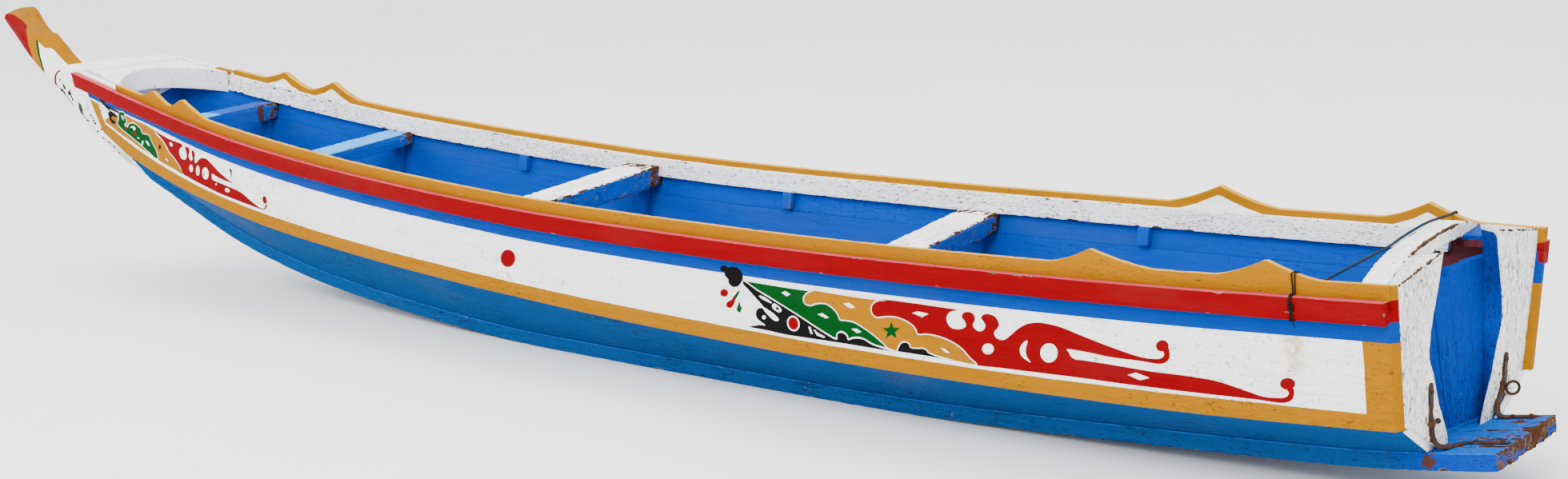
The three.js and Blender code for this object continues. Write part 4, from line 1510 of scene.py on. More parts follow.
@dataclass
class Beams:
    """Thwarts with the ribs under them, and cleats under the inwales."""

    shop: Workshop
    planking: Planking
    rib_width: float = 56.0
    rib_thick: float = 34.0
    cleats: tuple[float, ...] = (5230.0, 3600.0, 1780.0)
    cleat_width: float = 52.0
    cleat_thick: float = 38.0
    cleat_height: float = 74.0

    def build(self) -> None:
        """Builds every beam, rib and cleat."""
        worn = Wear(chips=0.8, edges=0.9, cracks=0.9, fade=0.05, grime=0.35, rough=0.55, relief=1.0)
        blue = Wear(chips=0.3, edges=0.8, cracks=0.7, fade=0.1, grime=0.3, rough=0.45, relief=0.8)
        finishes = {
            "white": Painted(
                "thwart_white", Paint.INSIDE_BLUE, (Zone(Paint.WHITE, "upper"),), Grain.ACROSS, worn, seed=11
            ),
            "blue": Painted(
                # Painted highlight: a paler blue on the thwart's top face, where the light falls
                "thwart_blue", Paint.INSIDE_BLUE, (Zone(Paint.PALE_BLUE, "upper"),), Grain.ACROSS, blue, seed=12
            ),
            "frame": Painted("frame_blue", Paint.INSIDE_BLUE, (), Grain.UPRIGHT, blue, seed=13),
        }
        made = {k: f.build() for k, f in finishes.items()}
        for number, size in enumerate(THWARTS, 1):
            measures = {
                # upper: the top face, white paint on the white thwarts and a painted highlight on the blue ones
                "upper": lambda p, s=size: p[:, 2] - s.top + 5,
                "worn": lambda p, s=size: 0.7 * smoothstep(abs(p[:, 1]), s.worn_from, s.worn_from + 160),
            }
            if number == 1:
                # On the first thwart the painted highlight lies only on the port part of the top
                measures["upper"] = lambda p, s=size: np.minimum(p[:, 2] - s.top + 5, p[:, 1] - 110)
                measures["stain"] = lambda p: 1.6 * np.exp(-(((p[:, 1] + 222) / 24) ** 4)) * (p[:, 0] < 7000)
            self.shop.dress(
                f"thwart_{number}",
                self._thwart(size),
                made["white" if size.white else "blue"],
                Slot.WHITE if size.white else Slot.BLUE,
                Surface(round=4, nibble=4, uneven=1.2),
                measures,
            )
            under = size.top - size.depth - GAP
            for side in Side:
                x = size.x - side.value * size.skew * float(HULL.side_half(size.x, under))
                low = lambda place: HULL.chine(place) + 2
                form = self._upright(x, side, self.rib_width, self.rib_thick, lambda place, u=under: u + 0 * place, low)
                self.shop.dress(f"rib_{number}_{side.word}", form, made["frame"], Slot.BLUE, Surface(round=3))
        for number, x in enumerate(self.cleats, 1):
            for side in Side:
                high = lambda place: HULL.top(place) - self.planking.inwale_bottom - GAP
                low = lambda place: high(place) - self.cleat_height
                form = self._upright(x, side, self.cleat_width, self.cleat_thick, high, low)
                self.shop.dress(f"cleat_{number}_{side.word}", form, made["frame"], Slot.BLUE, Surface(round=5))

    def _thwart(self, size: Thwart) -> Form:
        """A beam cut to the planking and, above the inwale's bottom, to the inwale."""
        thick = self.planking.inwale_thick

        def place(across: Array, along: Array, up: Array) -> Array:
            """A point across, along and up the beam."""
            z = size.top - size.depth * (1 - up)
            x0 = size.x + along * size.width
            side = np.sign(across) + (across == 0)
            reach = HULL.side_half(size.x, size.top)
            x_end = x0 - side * size.skew * reach
            ledge = HULL.top(x_end) - self.planking.inwale_bottom - GAP
            inner = np.where(z > ledge, PLANK + thick + GAP, PLANK + GAP)
            y = across * HULL.side_half(x_end, z, inner)
            return np.stack([x0 - size.skew * y * reach / HULL.side_half(x_end, z, inner), y, z], 1)

        return block(place, spread(61), np.linspace(-0.5, 0.5, 12), shares(7))

    @staticmethod
    def _upright(x: float, side: Side, width: float, thick: float, high: Line, low: Line) -> Form:
        """A block on the inside of the planking.

        Args:
            x: its middle along the boat.
            side: the side that it stands on.
            width: its breadth along the boat.
            thick: how far it stands in from the planking.
            high: height of its top.
            low: height of its foot.

        Returns:
            The closed surface.
        """

        def place(at: Array, up: Array, inward: Array) -> Array:
            """A point along, up and into the block."""
            z = low(at) + (high(at) - low(at)) * up
            return np.stack([at, side.value * HULL.side_half(at, z, PLANK + inward), z], 1)

        rows = max(3, int((high(np.float64(x)) - low(np.float64(x))) / 14))
        return block(place, steps(x - width / 2, x + width / 2, 14), shares(rows), np.array([GAP, thick / 2, thick]))


# Stern


@dataclass(frozen=True)
class Face:
    """A flat face across the stern: its place, plus skew for each unit to port and rake for each unit up."""

    aft: float
    skew: float
    rake: float = 0.0

    def at(self, y: Array, z: Array) -> Array:
        """Its place along the boat at a half breadth and height."""
        return self.aft + self.skew * y + self.rake * (z - HULL.keel_top(STERN_X))


@dataclass
class Stern:
    """Cheeks, transom, crossbeam and corner block."""

    shop: Workshop
    cheek_face: Face = Face(STERN_X, 0.046)
    transom_face: Face = Face(264, 0.15, 0.14)
    beam_face: Face = Face(345, -0.12)
    transom_thick: float = 30.0
    transom_top: float = 752.0
    beam_width: float = 90.0
    beam_depth: float = 56.0
    beam_crown: float = 60.0
    crown_half: float = 215.0
    off_centre: float = 20.0
    corner_inner: float = 350.0
    corner_depth: float = 42.0
    inner_z: tuple[float, ...] = (181, 235, 362, 466, 530, 610, 772)
    inner_aft: tuple[float, ...] = (124, 140, 216, 262, 296, 290, 240)
    inner_front: tuple[float, ...] = (160, 212, 250, 270, 282, 298, 330)

    @staticmethod
    def top(x: Array) -> Array:
        """Height of the pieces across the stern at the side."""
        return HULL.top(x) - 4

    def crown(self, x: Array, share: Array) -> Array:
        """Top of the crowned beam, at a share of the way from the middle to the side."""
        return self.top(x) + self.beam_crown * (1 - abs(share) ** 3)

    def build(self) -> None:
        """Builds the stern."""
        white = Wear(chips=0.3, edges=0.6, cracks=1.0, fade=0.04, grime=0.35, ticks=1.0, rough=0.5, relief=0.9)
        blue = Wear(chips=0.22, edges=0.4, cracks=0.9, fade=0.08, grime=0.3, ticks=0.85, rough=0.45, relief=0.9)
        cheek = Painted("cheek_paint", Paint.WHITE, (Zone(Paint.BLUE, "inner"),), Grain.UPRIGHT, white, seed=21).build()
        boards = Painted("transom_paint", Paint.BLUE, (), Grain.UPRIGHT, blue, seed=22).build()
        corner_look = Painted(
            # Painted shade over the corner block below its top edge
            "corner_paint", Paint.BLUE, (Zone(Paint.RECESS, "recess", wobble=4),), Grain.UPRIGHT, blue, seed=24
        ).build()
        beam = Painted(
            "crossbeam_paint",
            Paint.WHITE,
            # Painted shade on the beam's underside and the lowest strip of its faces
            (Zone(Paint.RECESS, "recess", wobble=3),),
            Grain.ACROSS,
            Wear(chips=0.5, edges=1.0, cracks=0.8, fade=0.04, grime=0.35, rough=0.5, relief=0.9),
            seed=23,
        ).build()
        for side in Side:
            stains = ((205, side.value * 300, 330, 50), (205, side.value * 285, 250, 50))
            corner = (205, side.value * 290, 235, 60)
            measures = {
                "inner": lambda p: np.minimum.reduce(
                    [
                        p[:, 0] - self.cheek_face.at(p[:, 1], p[:, 2]) - 5,
                        self.crown(p[:, 0], p[:, 1] / STERN_HALF) - 16 - p[:, 2],
                        HULL.inner_half(p[:, 0], p[:, 2]) - abs(p[:, 1]) - 9,
                    ]
                ),
                "stain": lambda p, spots=stains: 0.55 * blobs(p, spots),
                "worn": lambda p, at=corner: np.maximum(0.75 * self._cheek_worn(p), 0.5 * blobs(p, (at,))),
            }
            self.shop.dress(
                f"cheek_{side.word}", self._cheek(side), cheek, Slot.WHITE, Surface(round=4, nibble=3), measures
            )
        self.shop.dress("transom", self._transom(), boards, Slot.BLUE, Surface(round=2.5))
        under = {
            # How far inside the painted shade at the bottom of the beam
            "recess": lambda p: self.crown(p[:, 0], p[:, 1] / BEAM_HALF) - self.beam_depth + 4 - p[:, 2],
            "worn": lambda p: 0.8 * self._along_top(p, self.beam_face) * smoothstep(abs(p[:, 1]), 330, 260),
        }
        self.shop.dress("crossbeam", self._beam(), beam, Slot.WHITE, Surface(round=5, nibble=5), under)
        # How far inside the painted shade below the corner block's top edge
        below_top = {"recess": lambda p: self.top(p[:, 0]) - 13 - p[:, 2]}
        self.shop.dress("corner_block", self._corner(), corner_look, Slot.BLUE, Surface(round=4), below_top)

    def _along_top(self, p: Array, face: Face) -> Array:
        """1 along a face's top edge, which is worn to the wood, falling to 0 away from it."""
        beyond = abs(p[:, 0] - face.at(p[:, 1], p[:, 2]))
        return np.exp(-(((self.crown(p[:, 0], p[:, 1] / WORN_HALF) - p[:, 2]) / 10) ** 2) - (beyond / 12) ** 2)

    def _cheek_worn(self, p: Array) -> Array:
        """1 along a cheek's top aft edge, which runs straight, falling to 0 away from it."""
        low, half = float(self.top(STERN_X)), self.crown_half + np.sign(p[:, 1]) * self.off_centre
        high = self.crown(np.float64(STERN_X), half / STERN_HALF)
        top = low + (high - low) * np.clip((STERN_HALF - abs(p[:, 1])) / (STERN_HALF - half), 0, 1)
        beyond = abs(p[:, 0] - self.cheek_face.at(p[:, 1], p[:, 2]))
        return np.exp(-(((top - p[:, 2]) / 9) ** 2) - (beyond / 12) ** 2)

    def _edge(self, face: Callable[[Array, Array], Array], side: Side, z: Array) -> Array:
        """Outer edge, inside the planking, of a piece on a face."""
        x, half = np.full(len(z), STERN_X), np.zeros(len(z))
        for _ in range(TURNS):
            half = HULL.inner_half(x, z)
            x = face(side.value * half, z)
        return half

    def _cheek(self, side: Side) -> Form:
        """A cheek, from the planking in to its curved inner edge."""
        sign = side.value
        front = lambda y, z: np.minimum(self.transom_face.at(y, z), self.beam_face.at(y, z)) - GAP
        foot = float(HULL.keel_top(STERN_X)) + GAP
        curve_aft = smooth_line(self.inner_z, self.inner_aft)
        curve_front = smooth_line(self.inner_z, self.inner_front)

        def corner(face: Callable, curve: Line, top_half: float, up: Array, inward: Array) -> Array:
            """A point up and into one face of the cheek.

            Args:
                face: gives the face's place along the boat.
                curve: half breadth of the inner edge at a height.
                top_half: half breadth of its top corner.
                up: shares of the way up.
                inward: shares of the way from the planking to the inner edge.

            Returns:
                The points, one to a row.
            """
            outer_top = float(self.top(STERN_X)) - 1
            half_top = top_half + sign * self.off_centre
            inner_top = float(self.crown(np.float64(STERN_X), half_top / STERN_HALF)) - 1
            z_out = foot + (outer_top - foot) * up
            z_in = foot + (inner_top - foot) * up
            bend = np.minimum(z_in, self.inner_z[-1])
            half_in = curve(bend) + sign * self.off_centre
            past = np.clip((z_in - self.inner_z[-1]) / (inner_top - self.inner_z[-1]), 0, 1)
            half_in = half_in + (half_top - half_in) * past
            half_out = self._edge(face, side, z_out)
            half = half_out + (half_in - half_out) * inward
            z = z_out + (z_in - z_out) * inward
            return np.stack([face(sign * half, z), sign * half, z], 1)

        def place(up: Array, inward: Array, ahead: Array) -> Array:
            """A point between the aft and the fore face."""
            a = corner(self.cheek_face.at, curve_aft, self.crown_half, up, inward)
            b = corner(front, curve_front, 330.0, up, inward)
            return a + (b - a) * ahead[:, None]

        return block(place, shares(46), shares(18), shares(6))

    def _transom(self) -> Form:
        """Upright boards, each standing a little off its neighbours, with a broken top."""
        seams = np.array([-205.0, -80.0, 36.0, 128.0, 236.0])
        lanes = np.unique(np.concatenate([spread(81)] + [(seams + d) / BEAM_HALF for d in (-3, -1, 1, 3)]))
        foot = float(HULL.keel_top(STERN_X)) + 12

        def place(across: Array, up: Array, ahead: Array) -> Array:
            """A point across, up and through the boards."""
            board = np.searchsorted(seams, across * BEAM_HALF)
            drop = np.array([4, 10, 34, 16, 26, 8])[board] * smoothstep(up, 0.8, 1)
            z = foot + (self.transom_top - drop - foot) * up
            sign = np.where(across < 0, -1, 1)
            x = np.full(len(z), float(self.transom_face.aft))
            half = np.zeros(len(z))
            for _ in range(TURNS):
                half = HULL.inner_half(x, z) - 1
                x = self.transom_face.at(sign * half, z)
            y = across * half
            near = np.min([abs(across * BEAM_HALF - s) for s in seams], axis=0)
            set_in = np.array([0, 3, 1, 5, 2, 4])[board] + 5 * (near < 2)
            x = self.transom_face.at(y, z) + ahead * self.transom_thick + set_in * (ahead < 0.01)
            return np.stack([x, y, z], 1)

        return block(place, lanes, shares(42), shares(3))

    def _beam(self) -> Form:
        """The crowned beam behind the cheeks."""

        def place(share: Array, ahead: Array, down: Array) -> Array:
            """A point across, through and down the beam."""
            sign = np.where(share < 0, -1, 1)
            x = np.full(len(share), self.beam_face.aft)
            y = z = np.zeros(len(share))
            for _ in range(TURNS):
                drop = down * self.beam_depth
                y = sign * abs(share) * HULL.side_half(x, self.top(x) - drop, PLANK + GAP)
                z = self.crown(x, share) - drop
                x = self.beam_face.at(y, z) + ahead * self.beam_width
            return np.stack([x, y, z], 1)

        return block(place, spread(71), shares(8), shares(6))

    def _corner(self) -> Form:
        """The block in the starboard corner."""

        def place(out: Array, ahead: Array, down: Array) -> Array:
            """A point out, through and down the block."""
            x = np.full(len(out), 300.0)
            y = z = np.zeros(len(out))
            for _ in range(TURNS):
                z = self.top(x) - down * self.corner_depth
                y = -(self.corner_inner + (HULL.side_half(x, z, PLANK + GAP) - self.corner_inner) * out)
                x = self.transom_face.at(y, z) * (1 - ahead) + (self.beam_face.at(y, z) - GAP) * ahead
            return np.stack([x, y, z], 1)

        return block(place, shares(14), shares(8), shares(5))


# Foredeck


@dataclass
class Foredeck:
    """The solid breasthook behind the prow, with its hollow aft edge."""

    shop: Workshop
    aft_middle: float = 7640.0
    aft_side: float = 7385.0
    depth: float = 112.0
    drop: float = 14.0

    def build(self) -> None:
        """Builds the deck."""
        finish = Painted(
            "deck_paint",
            Paint.WHITE,
            (),
            Grain.ALONG,
            Wear(chips=0.3, edges=0.7, cracks=0.6, fade=0.03, grime=0.35, rough=0.5, relief=0.8),
            seed=31,
        ).build()
        front = BOW_X - GAP
        deck = lambda x: HULL.top(x) - self.drop
        under = lambda x: deck(x) - self.depth
        reach = float(HULL.side_half(self.aft_side, under(self.aft_side), PLANK + GAP)) - 2

        def foremost(half: Array, z: Array) -> Array:
            """Furthest place forward that is inside the planking."""
            x = np.full(len(half), front)
            for _ in range(400):
                x = np.where((x > self.aft_side) & (HULL.side_half(x, z, PLANK + GAP) < half), x - 1, x)
            return x

        def place(share: Array, ahead: Array, down: Array) -> Array:
            """A point across, along and down the deck."""
            y = reach * share
            hollow = np.cos(np.clip(math.pi / 2 * share, -math.pi / 2, math.pi / 2)) ** 0.8
            aft = self.aft_side + (self.aft_middle - self.aft_side) * hollow
            tip = np.maximum(foremost(abs(y), under(aft)), aft + 2)
            x = aft + (tip - aft) * ahead
            z = deck(x) + (under(aft) - deck(x)) * down
            return np.stack([x, y, z], 1)

        form = block(place, spread(61), shares(12), shares(8))
        self.shop.dress("foredeck", form, finish, Slot.WHITE, Surface(round=3, nibble=2))


# Ironwork


@dataclass(frozen=True)
class StrapRoute:
    """Where a strap runs: half breadth and height down the cheek, half breadths at its bend, then along the log."""

    down: tuple[tuple[float, float], ...]
    bend: tuple[float, float, float]
    along: tuple[tuple[float, float], ...]


@dataclass
class Ironwork:
    """Two bent straps with their bolts, and the ring."""

    shop: Workshop
    cheek_face: Face = Face(STERN_X, 0.046)
    width: float = 34.0
    thick: float = 6.0
    bends: tuple[tuple[float, float, float], ...] = ((3, 48, 15), (10, 22, 40), (24, 9, 72))
    routes: dict[Side, StrapRoute] = field(
        default_factory=lambda: {
            Side.PORT: StrapRoute(
                ((307, 441), (300, 350), (289, 272)), (280, 262, 240), ((190, 186), (160, 148), (100, 140), (18, 138))
            ),
            Side.STARBOARD: StrapRoute(
                ((304, 417), (300, 330), (264, 264)), (239, 222, 211), ((160, 216), (120, 230), (60, 236))
            ),
        }
    )
    ring_radius: float = 23.0
    ring_wire: float = 5.4
    ring_at: tuple[float, float, float] = (175.6, -315.6, 290.0)
    ring_turned: float = 219.0
    ring_points: int = 56
    wire_points: int = 14
    strap_points: int = 60

    def build(self) -> None:
        """Builds the ironwork."""
        iron = RustyIron("rusty_iron", 1).build()
        for side, route in self.routes.items():
            path = self._path(side, route)
            rusted = Surface(round=1.6, uneven=1.4, nibble=3)
            self.shop.dress(f"strap_{side.word}", self._strap(path), iron, Slot.IRON, rusted)
            for number, share in enumerate((0.06, 0.3, 0.78, 0.95), 1):
                at, out = self._along(path, share)
                foot = at + out * (self.thick - 0.5)
                profile = ((0.5, 0), (8.5, 0), (8.5, 2.5), (7, 5.5), (3.5, 7.2), (0.5, 7.6))
                bolt = lathe(profile, foot, out, 14)
                self.shop.piece(f"strap_bolt_{side.word}_{number}", bolt, iron, Slot.IRON, (), Surface(0, 0.4))
        self._cross_bolt(iron)
        self._ring(iron)

    def _path(self, side: Side, route: StrapRoute) -> tuple[Array, Array]:
        """Middle of the strap's inner face, and the way that this face looks away from."""
        sign, at, out = side.value, [], []
        for half, z in route.down:
            at.append((float(self.cheek_face.at(sign * half, z)) - 2 * GAP, sign * half, z))
            out.append((-1.0, 0.0, 0.0))
        for (back, above, turned), half in zip(self.bends, route.bend):
            angle = math.radians(turned)
            x = float(self.cheek_face.at(sign * half, 0)) - back
            at.append((x, sign * half, float(HULL.keel_top(x)) + above))
            out.append((-math.cos(angle), 0.0, math.sin(angle)))
        for x, half in route.along:
            slope = float(HULL.keel_top(x - 5) - HULL.keel_top(x + 5)) / 10
            at.append((x, sign * half, float(HULL.keel_top(x)) + 2 * GAP))
            out.append((slope, 0.0, 1.0))
        return np.array(at), np.array(out)

    @staticmethod
    def _along(path: tuple[Array, Array], share: float) -> tuple[Array, Array]:
        """Point and outward direction at a share of the strap's length."""
        at, out = path
        far = walked(at)
        s = share * far[-1]
        point = np.array([np.interp(s, far, at[:, k]) for k in range(3)])
        way = np.array([np.interp(s, far, out[:, k]) for k in range(3)])
        return point, way / np.linalg.norm(way)

    def _strap(self, path: tuple[Array, Array]) -> Form:
        """A flat iron along its path, a little uneven in width from rust."""
        places = shares(self.strap_points)
        points = np.array([self._along(path, s)[0] for s in places])
        rings = []
        for i, share in enumerate(places):
            out = self._along(path, share)[1]
            along = points[min(i + 1, self.strap_points - 1)] - points[max(i - 1, 0)]
            along /= np.linalg.norm(along)
            out = out - np.dot(out, along) * along
            out /= np.linalg.norm(out)
            across = np.cross(along, out)
            end = math.sqrt(max(0.0, 1 - max(0.0, 1 - min(share, 1 - share) / 0.035) ** 2))
            half = self.width / 2 * (0.35 + 0.65 * end) * (0.94 + 0.06 * waver(points[i], 40))
            across_at = np.linspace(-half, half, 6)
            upper = [points[i] + a * across + self.thick * out for a in across_at[::-1]]
            rings.append(np.array([points[i] + a * across for a in across_at] + upper))
        return rings_form(rings)

    def _cross_bolt(self, iron: Material) -> None:
        """The bolt that lies across the port strap, with its two nuts."""
        z, half = 304.0, 296.0
        x = float(self.cheek_face.at(half, z)) - 12
        nut, shank, end = ((0.5, 0), (10, 0), (12, 4), (12, 10), (9, 14)), ((5, 15), (5, 64)), ((9, 65), (10, 74))
        profile = (*nut, *shank, *end, (6, 78), (0.5, 78))
        form = lathe(profile, np.array([x - 3, half + 30, z]), np.array([0.06, -1.0, -0.05]), 16)
        self.shop.piece("strap_cross_bolt", form, iron, Slot.IRON, (), Surface(0, 0.6))

    def _ring(self, iron: Material) -> None:
        """The ring on the starboard strap, with the eye that holds it."""
        turn = math.radians(self.ring_turned)
        x_axis = np.array([math.cos(turn), math.sin(turn), 0.0])
        count, wires = self.ring_points, self.wire_points
        rings = []
        for i in range(count):
            a = 2 * math.pi * i / count
            way = math.cos(a) * x_axis + math.sin(a) * np.array([0, 0, 1.0])
            centre = np.array(self.ring_at) + self.ring_radius * way
            wire = self.ring_wire * (0.95 + 0.08 * waver(centre, 12))
            side = np.cross(way, (-math.sin(a) * x_axis + math.cos(a) * np.array([0, 0, 1.0])))
            angles = round_angles(wires)[:, None]
            rings.append(centre + wire * (np.cos(angles) * way + np.sin(angles) * side))
        form = rings_form(rings)
        form.faces = form.faces[:-2]
        last = (count - 1) * wires
        form.faces += [(last + i, last + (i + 1) % wires, (i + 1) % wires, i) for i in range(wires)]
        self.shop.dress("strap_ring", form, iron, Slot.IRON, Surface(0, 0.3))


# Cordage


@dataclass
class Cordage:
    """The lashing round the port rail and the line across the stern."""

    shop: Workshop
    planking: Planking
    stern: Stern
    radius: float = 5.0
    thin: float = 2.6
    lashing: float = 572.0
    start: float = 588.0
    end: float = 514.0
    pitch: float = 34.0
    knot: float = 3.2 * 2 * math.pi
    sides: int = 15

    def build(self) -> None:
        """Builds both cords."""
        tarred = LaidRope("lashing_rope", (0.016, 0.011, 0.009), (0.006, 0.0055, 0.006)).build()
        line = LaidRope("stern_rope", (0.045, 0.04, 0.034), (0.010, 0.045, 0.08)).build()
        for number, shift in enumerate((-4.2, 4.2)):
            route = self._dense(self._round_rail(shift))
            replaced = ["rail_lashing"] if number == 0 else []
            self._rope(f"rail_lashing_turn_{number + 1}", route, tarred, replaced, self.thin)
        self._knot(tarred)
        self._rope("stern_line_finished", self._dense(self._across_stern()), line, ["stern_line"], self.radius)

    @staticmethod
    def _round(x: float, side: Side, clear: float, corners: Sequence[tuple[float, float, float, float]]) -> list:
        """Part of a cord's turn over the side.

        Args:
            x: its place along the boat.
            side: the side that it goes over.
            clear: how far its middle runs from the wood.
            corners: the corners that it rounds, each with its inset, height, and first and last angle.

        Returns:
            Points along the cord's middle.
        """
        points = []
        for inward, z, first, last in corners:
            for degrees in [first] if first == last else np.linspace(first, last, 6):
                angle = math.radians(degrees)
                height = z + clear * math.sin(angle)
                half = float(HULL.side_half(x, height, inward)) + clear * math.cos(angle)
                points.append((x, side.value * half, height))
        return points

    def _round_rail(self, shift: float) -> list:
        """One turn round the port rail, from under it to inside the inwale, drawn in to the knot on the rail."""
        x = self.lashing
        top = float(HULL.top(x) + crest_height(np.float64(x), CRESTS[Side.PORT]))
        high = float(self.planking.rail(x))
        low = high - self.planking.rail_height
        gunwale = float(HULL.top(x))
        ledge = gunwale - self.planking.inwale_top
        out, inner = -self.planking.rail_out, PLANK + self.planking.inwale_thick
        points = self._round(
            x,
            Side.PORT,
            self.thin + GAP,
            [
                (-12, low, -90, -90),
                (out, low, -90, 0),
                (out, high, 0, 90),
                (-3, high + 3, 45, 45),
                (0, top, 0, 90),
                (PLANK, top, 90, 180),
                (PLANK + 3, ledge + 3, 135, 135),
                (inner, ledge, 90, 180),
                (inner, gunwale - 70, 180, 180),
            ],
        )
        return [(px + shift * (0.75 + 0.6 * float(smoothstep(z, high - 20, top))), y, z) for px, y, z in points]

    def _knot(self, rope: Material) -> None:
        """The knot that draws the two turns together on the rail's outer face, with its two loose ends."""
        middle = float(self.planking.rail(self.lashing)) - 0.42 * self.planking.rail_height
        coil = []
        for angle in np.linspace(0, self.knot, 90):
            z = middle + 13 - 26 * angle / self.knot
            face = float(HULL.side_half(self.lashing, z, -self.planking.rail_out))
            out = self.thin + GAP + (self.thin * 2 + 0.6) * math.cos(angle)
            coil.append((self.lashing + 8.6 * math.sin(angle), face + max(out, self.thin * 0.4), z))
        self._rope("rail_lashing_knot", np.array(coil), rope, [], self.thin)
        for number, (sway, drop) in enumerate(((12, 62), (-7, 44)), 1):
            tail = []
            for t in shares(24):
                z = middle - 8 - drop * t
                face = float(HULL.side_half(self.lashing, z, -self.planking.rail_out))
                tail.append((self.lashing - sway * t**1.6, face + self.thin * 2 + 4 * (1 - t), z))
            self._rope(f"rail_lashing_end_{number}", np.array(tail), rope, [], self.thin * 0.8)

    def _across_stern(self) -> list:
        """The line from inside the port board, over the crossbeam, to the starboard board."""
        x, r = self.start, self.radius
        z = float(HULL.top(x)) - 62
        points = [(x, float(HULL.side_half(x, z, PLANK + self.planking.inwale_thick + r + 3)), z)]
        for y in (240.0, 120.0, 0.0, -130.0, -260.0):
            place = float(self.stern.beam_face.at(y, 0)) + self.stern.beam_width + 1
            points.append((place, y, float(self.stern.crown(np.float64(place), y / BEAM_HALF)) + r + 2))
        top = float(HULL.top(self.end) + crest_height(np.float64(self.end), CRESTS[Side.STARBOARD]))
        return points + self._round(
            self.end,
            Side.STARBOARD,
            self.radius + 2 * GAP,
            [(PLANK, top, 150, 90), (0, top, 90, 0), (0, top - 30, 0, 0)],
        )

    @staticmethod
    def _dense(points: Sequence[Sequence[float]], step: float = 2.6) -> Array:
        """Points close together along straight stretches, with the corners a little eased."""
        at = np.array(points, float)
        far = walked(at)
        s = steps(0, far[-1], step)
        line = np.stack([np.interp(s, far, at[:, k]) for k in range(3)], 1)
        for _ in range(4):
            line[1:-1] = (line[:-2] + 2 * line[1:-1] + line[2:]) / 4
        return line

    def _rope(self, name: str, route: Array, material: Material, replaces: Sequence[str], radius: float) -> None:
        """A rope of three strands laid round its route.

        Args:
            name: the piece's name.
            route: points close together along the rope's middle.
            material: its finish.
            replaces: CAD nodes that it stands for.
            radius: half its thickness.
        """
        pitch = self.pitch * radius / self.radius
        far = walked(route)

        def lay(i: int, angles: Array) -> Array:
            """The three strands' outline at a point of the route."""
            bulge = abs(np.cos(1.5 * (angles - 2 * math.pi * far[i] / pitch)))
            r = radius * (0.8 + 0.2 * bulge ** 0.7)
            return np.stack([r * np.cos(angles), r * np.sin(angles)], 1)

        form = tube(route, lay, self.sides)
        places = [divmod(k, self.sides) for k in range(len(form.points))]
        # How far each point stands out on its strand; the hollows between the strands get painted shade
        grooves = np.array(
            [abs(math.cos(1.5 * (2 * math.pi * k / self.sides - 2 * math.pi * far[i] / pitch))) for i, k in places]
        )
        tree = tree_of(form.points)
        groove = lambda p: np.array([grooves[tree.find(q)[1]] for q in p])
        self.shop.piece(name, form, material, Slot.ROPE, replaces, Surface(0, 0, 0, 60), {"groove": groove})


# Camera and stage


@dataclass(frozen=True)
class Sight:
    """The photograph's camera, for an image 1960 pixels wide and 599 high."""

    at: tuple[float, float, float] = (-6.7682, 6.8211, 2.2893)
    azimuth: float = 218.867
    elevation: float = 11.050
    roll: float = -1.642
    focal: float = 2626.94
    centre: tuple[float, float] = (976.16, 297.14)
    size: tuple[float, float] = (1960.0, 599.0)

    @property
    def axes(self) -> Array:
        """Its right, up and backward directions, one to a row."""
        a, e, r = (math.radians(d) for d in (self.azimuth, self.elevation, self.roll))
        back = np.array([math.sin(a) * math.cos(e), -math.cos(a) * math.cos(e), math.sin(e)])
        right = np.array([math.cos(a), math.sin(a), 0.0])
        up = np.cross(back, right)
        return np.array([right * math.cos(r) + up * math.sin(r), up * math.cos(r) - right * math.sin(r), back])

    def ray(self, u: float, v: float) -> Array:
        """Direction of a pixel's line of sight."""
        right, up, back = self.axes
        return right * (u - self.centre[0]) / self.focal - up * (v - self.centre[1]) / self.focal - back

    def on_side(self, u: float, v: float) -> tuple[float, float]:
        """Finds a pixel's place on the port side.

        Args:
            u: the pixel's column.
            v: its row.

        Returns:
            The place along the hull and the depth below the gunwale, in millimetres.
        """
        ray = self.ray(u, v)
        start = to_source(np.array([self.at]))[0]
        y, point = 600.0, start
        for _ in range(SIGHT_TURNS):
            point = start + ray * (y - start[1]) / ray[1]
            y = float(HULL.side_half(point[0], point[2]))
        return float(point[0]), float(HULL.top(point[0]) - point[2])

    def build(self) -> None:
        """Makes the scene's camera."""
        data = bpy.data.cameras.new("camera")
        data.sensor_fit, data.sensor_width = "HORIZONTAL", FILM
        data.lens = FILM * self.focal / self.size[0]
        data.shift_x = (self.size[0] / 2 - self.centre[0]) / self.size[0]
        data.shift_y = (self.centre[1] - self.size[1] / 2) / self.size[0]
        data.clip_end = 200.0
        camera = placed("camera", data)
        turn = Matrix([Vector(row) for row in self.axes]).transposed().to_4x4()
        camera.matrix_world = Matrix.Translation(Vector(self.at)) @ turn
        bpy.context.scene.camera = camera


@dataclass(frozen=True)
class Lamp:
    """A soft studio lamp: place, size and power, aimed at the boat."""

    name: str
    at: tuple[float, float, float]
    size: float
    power: float


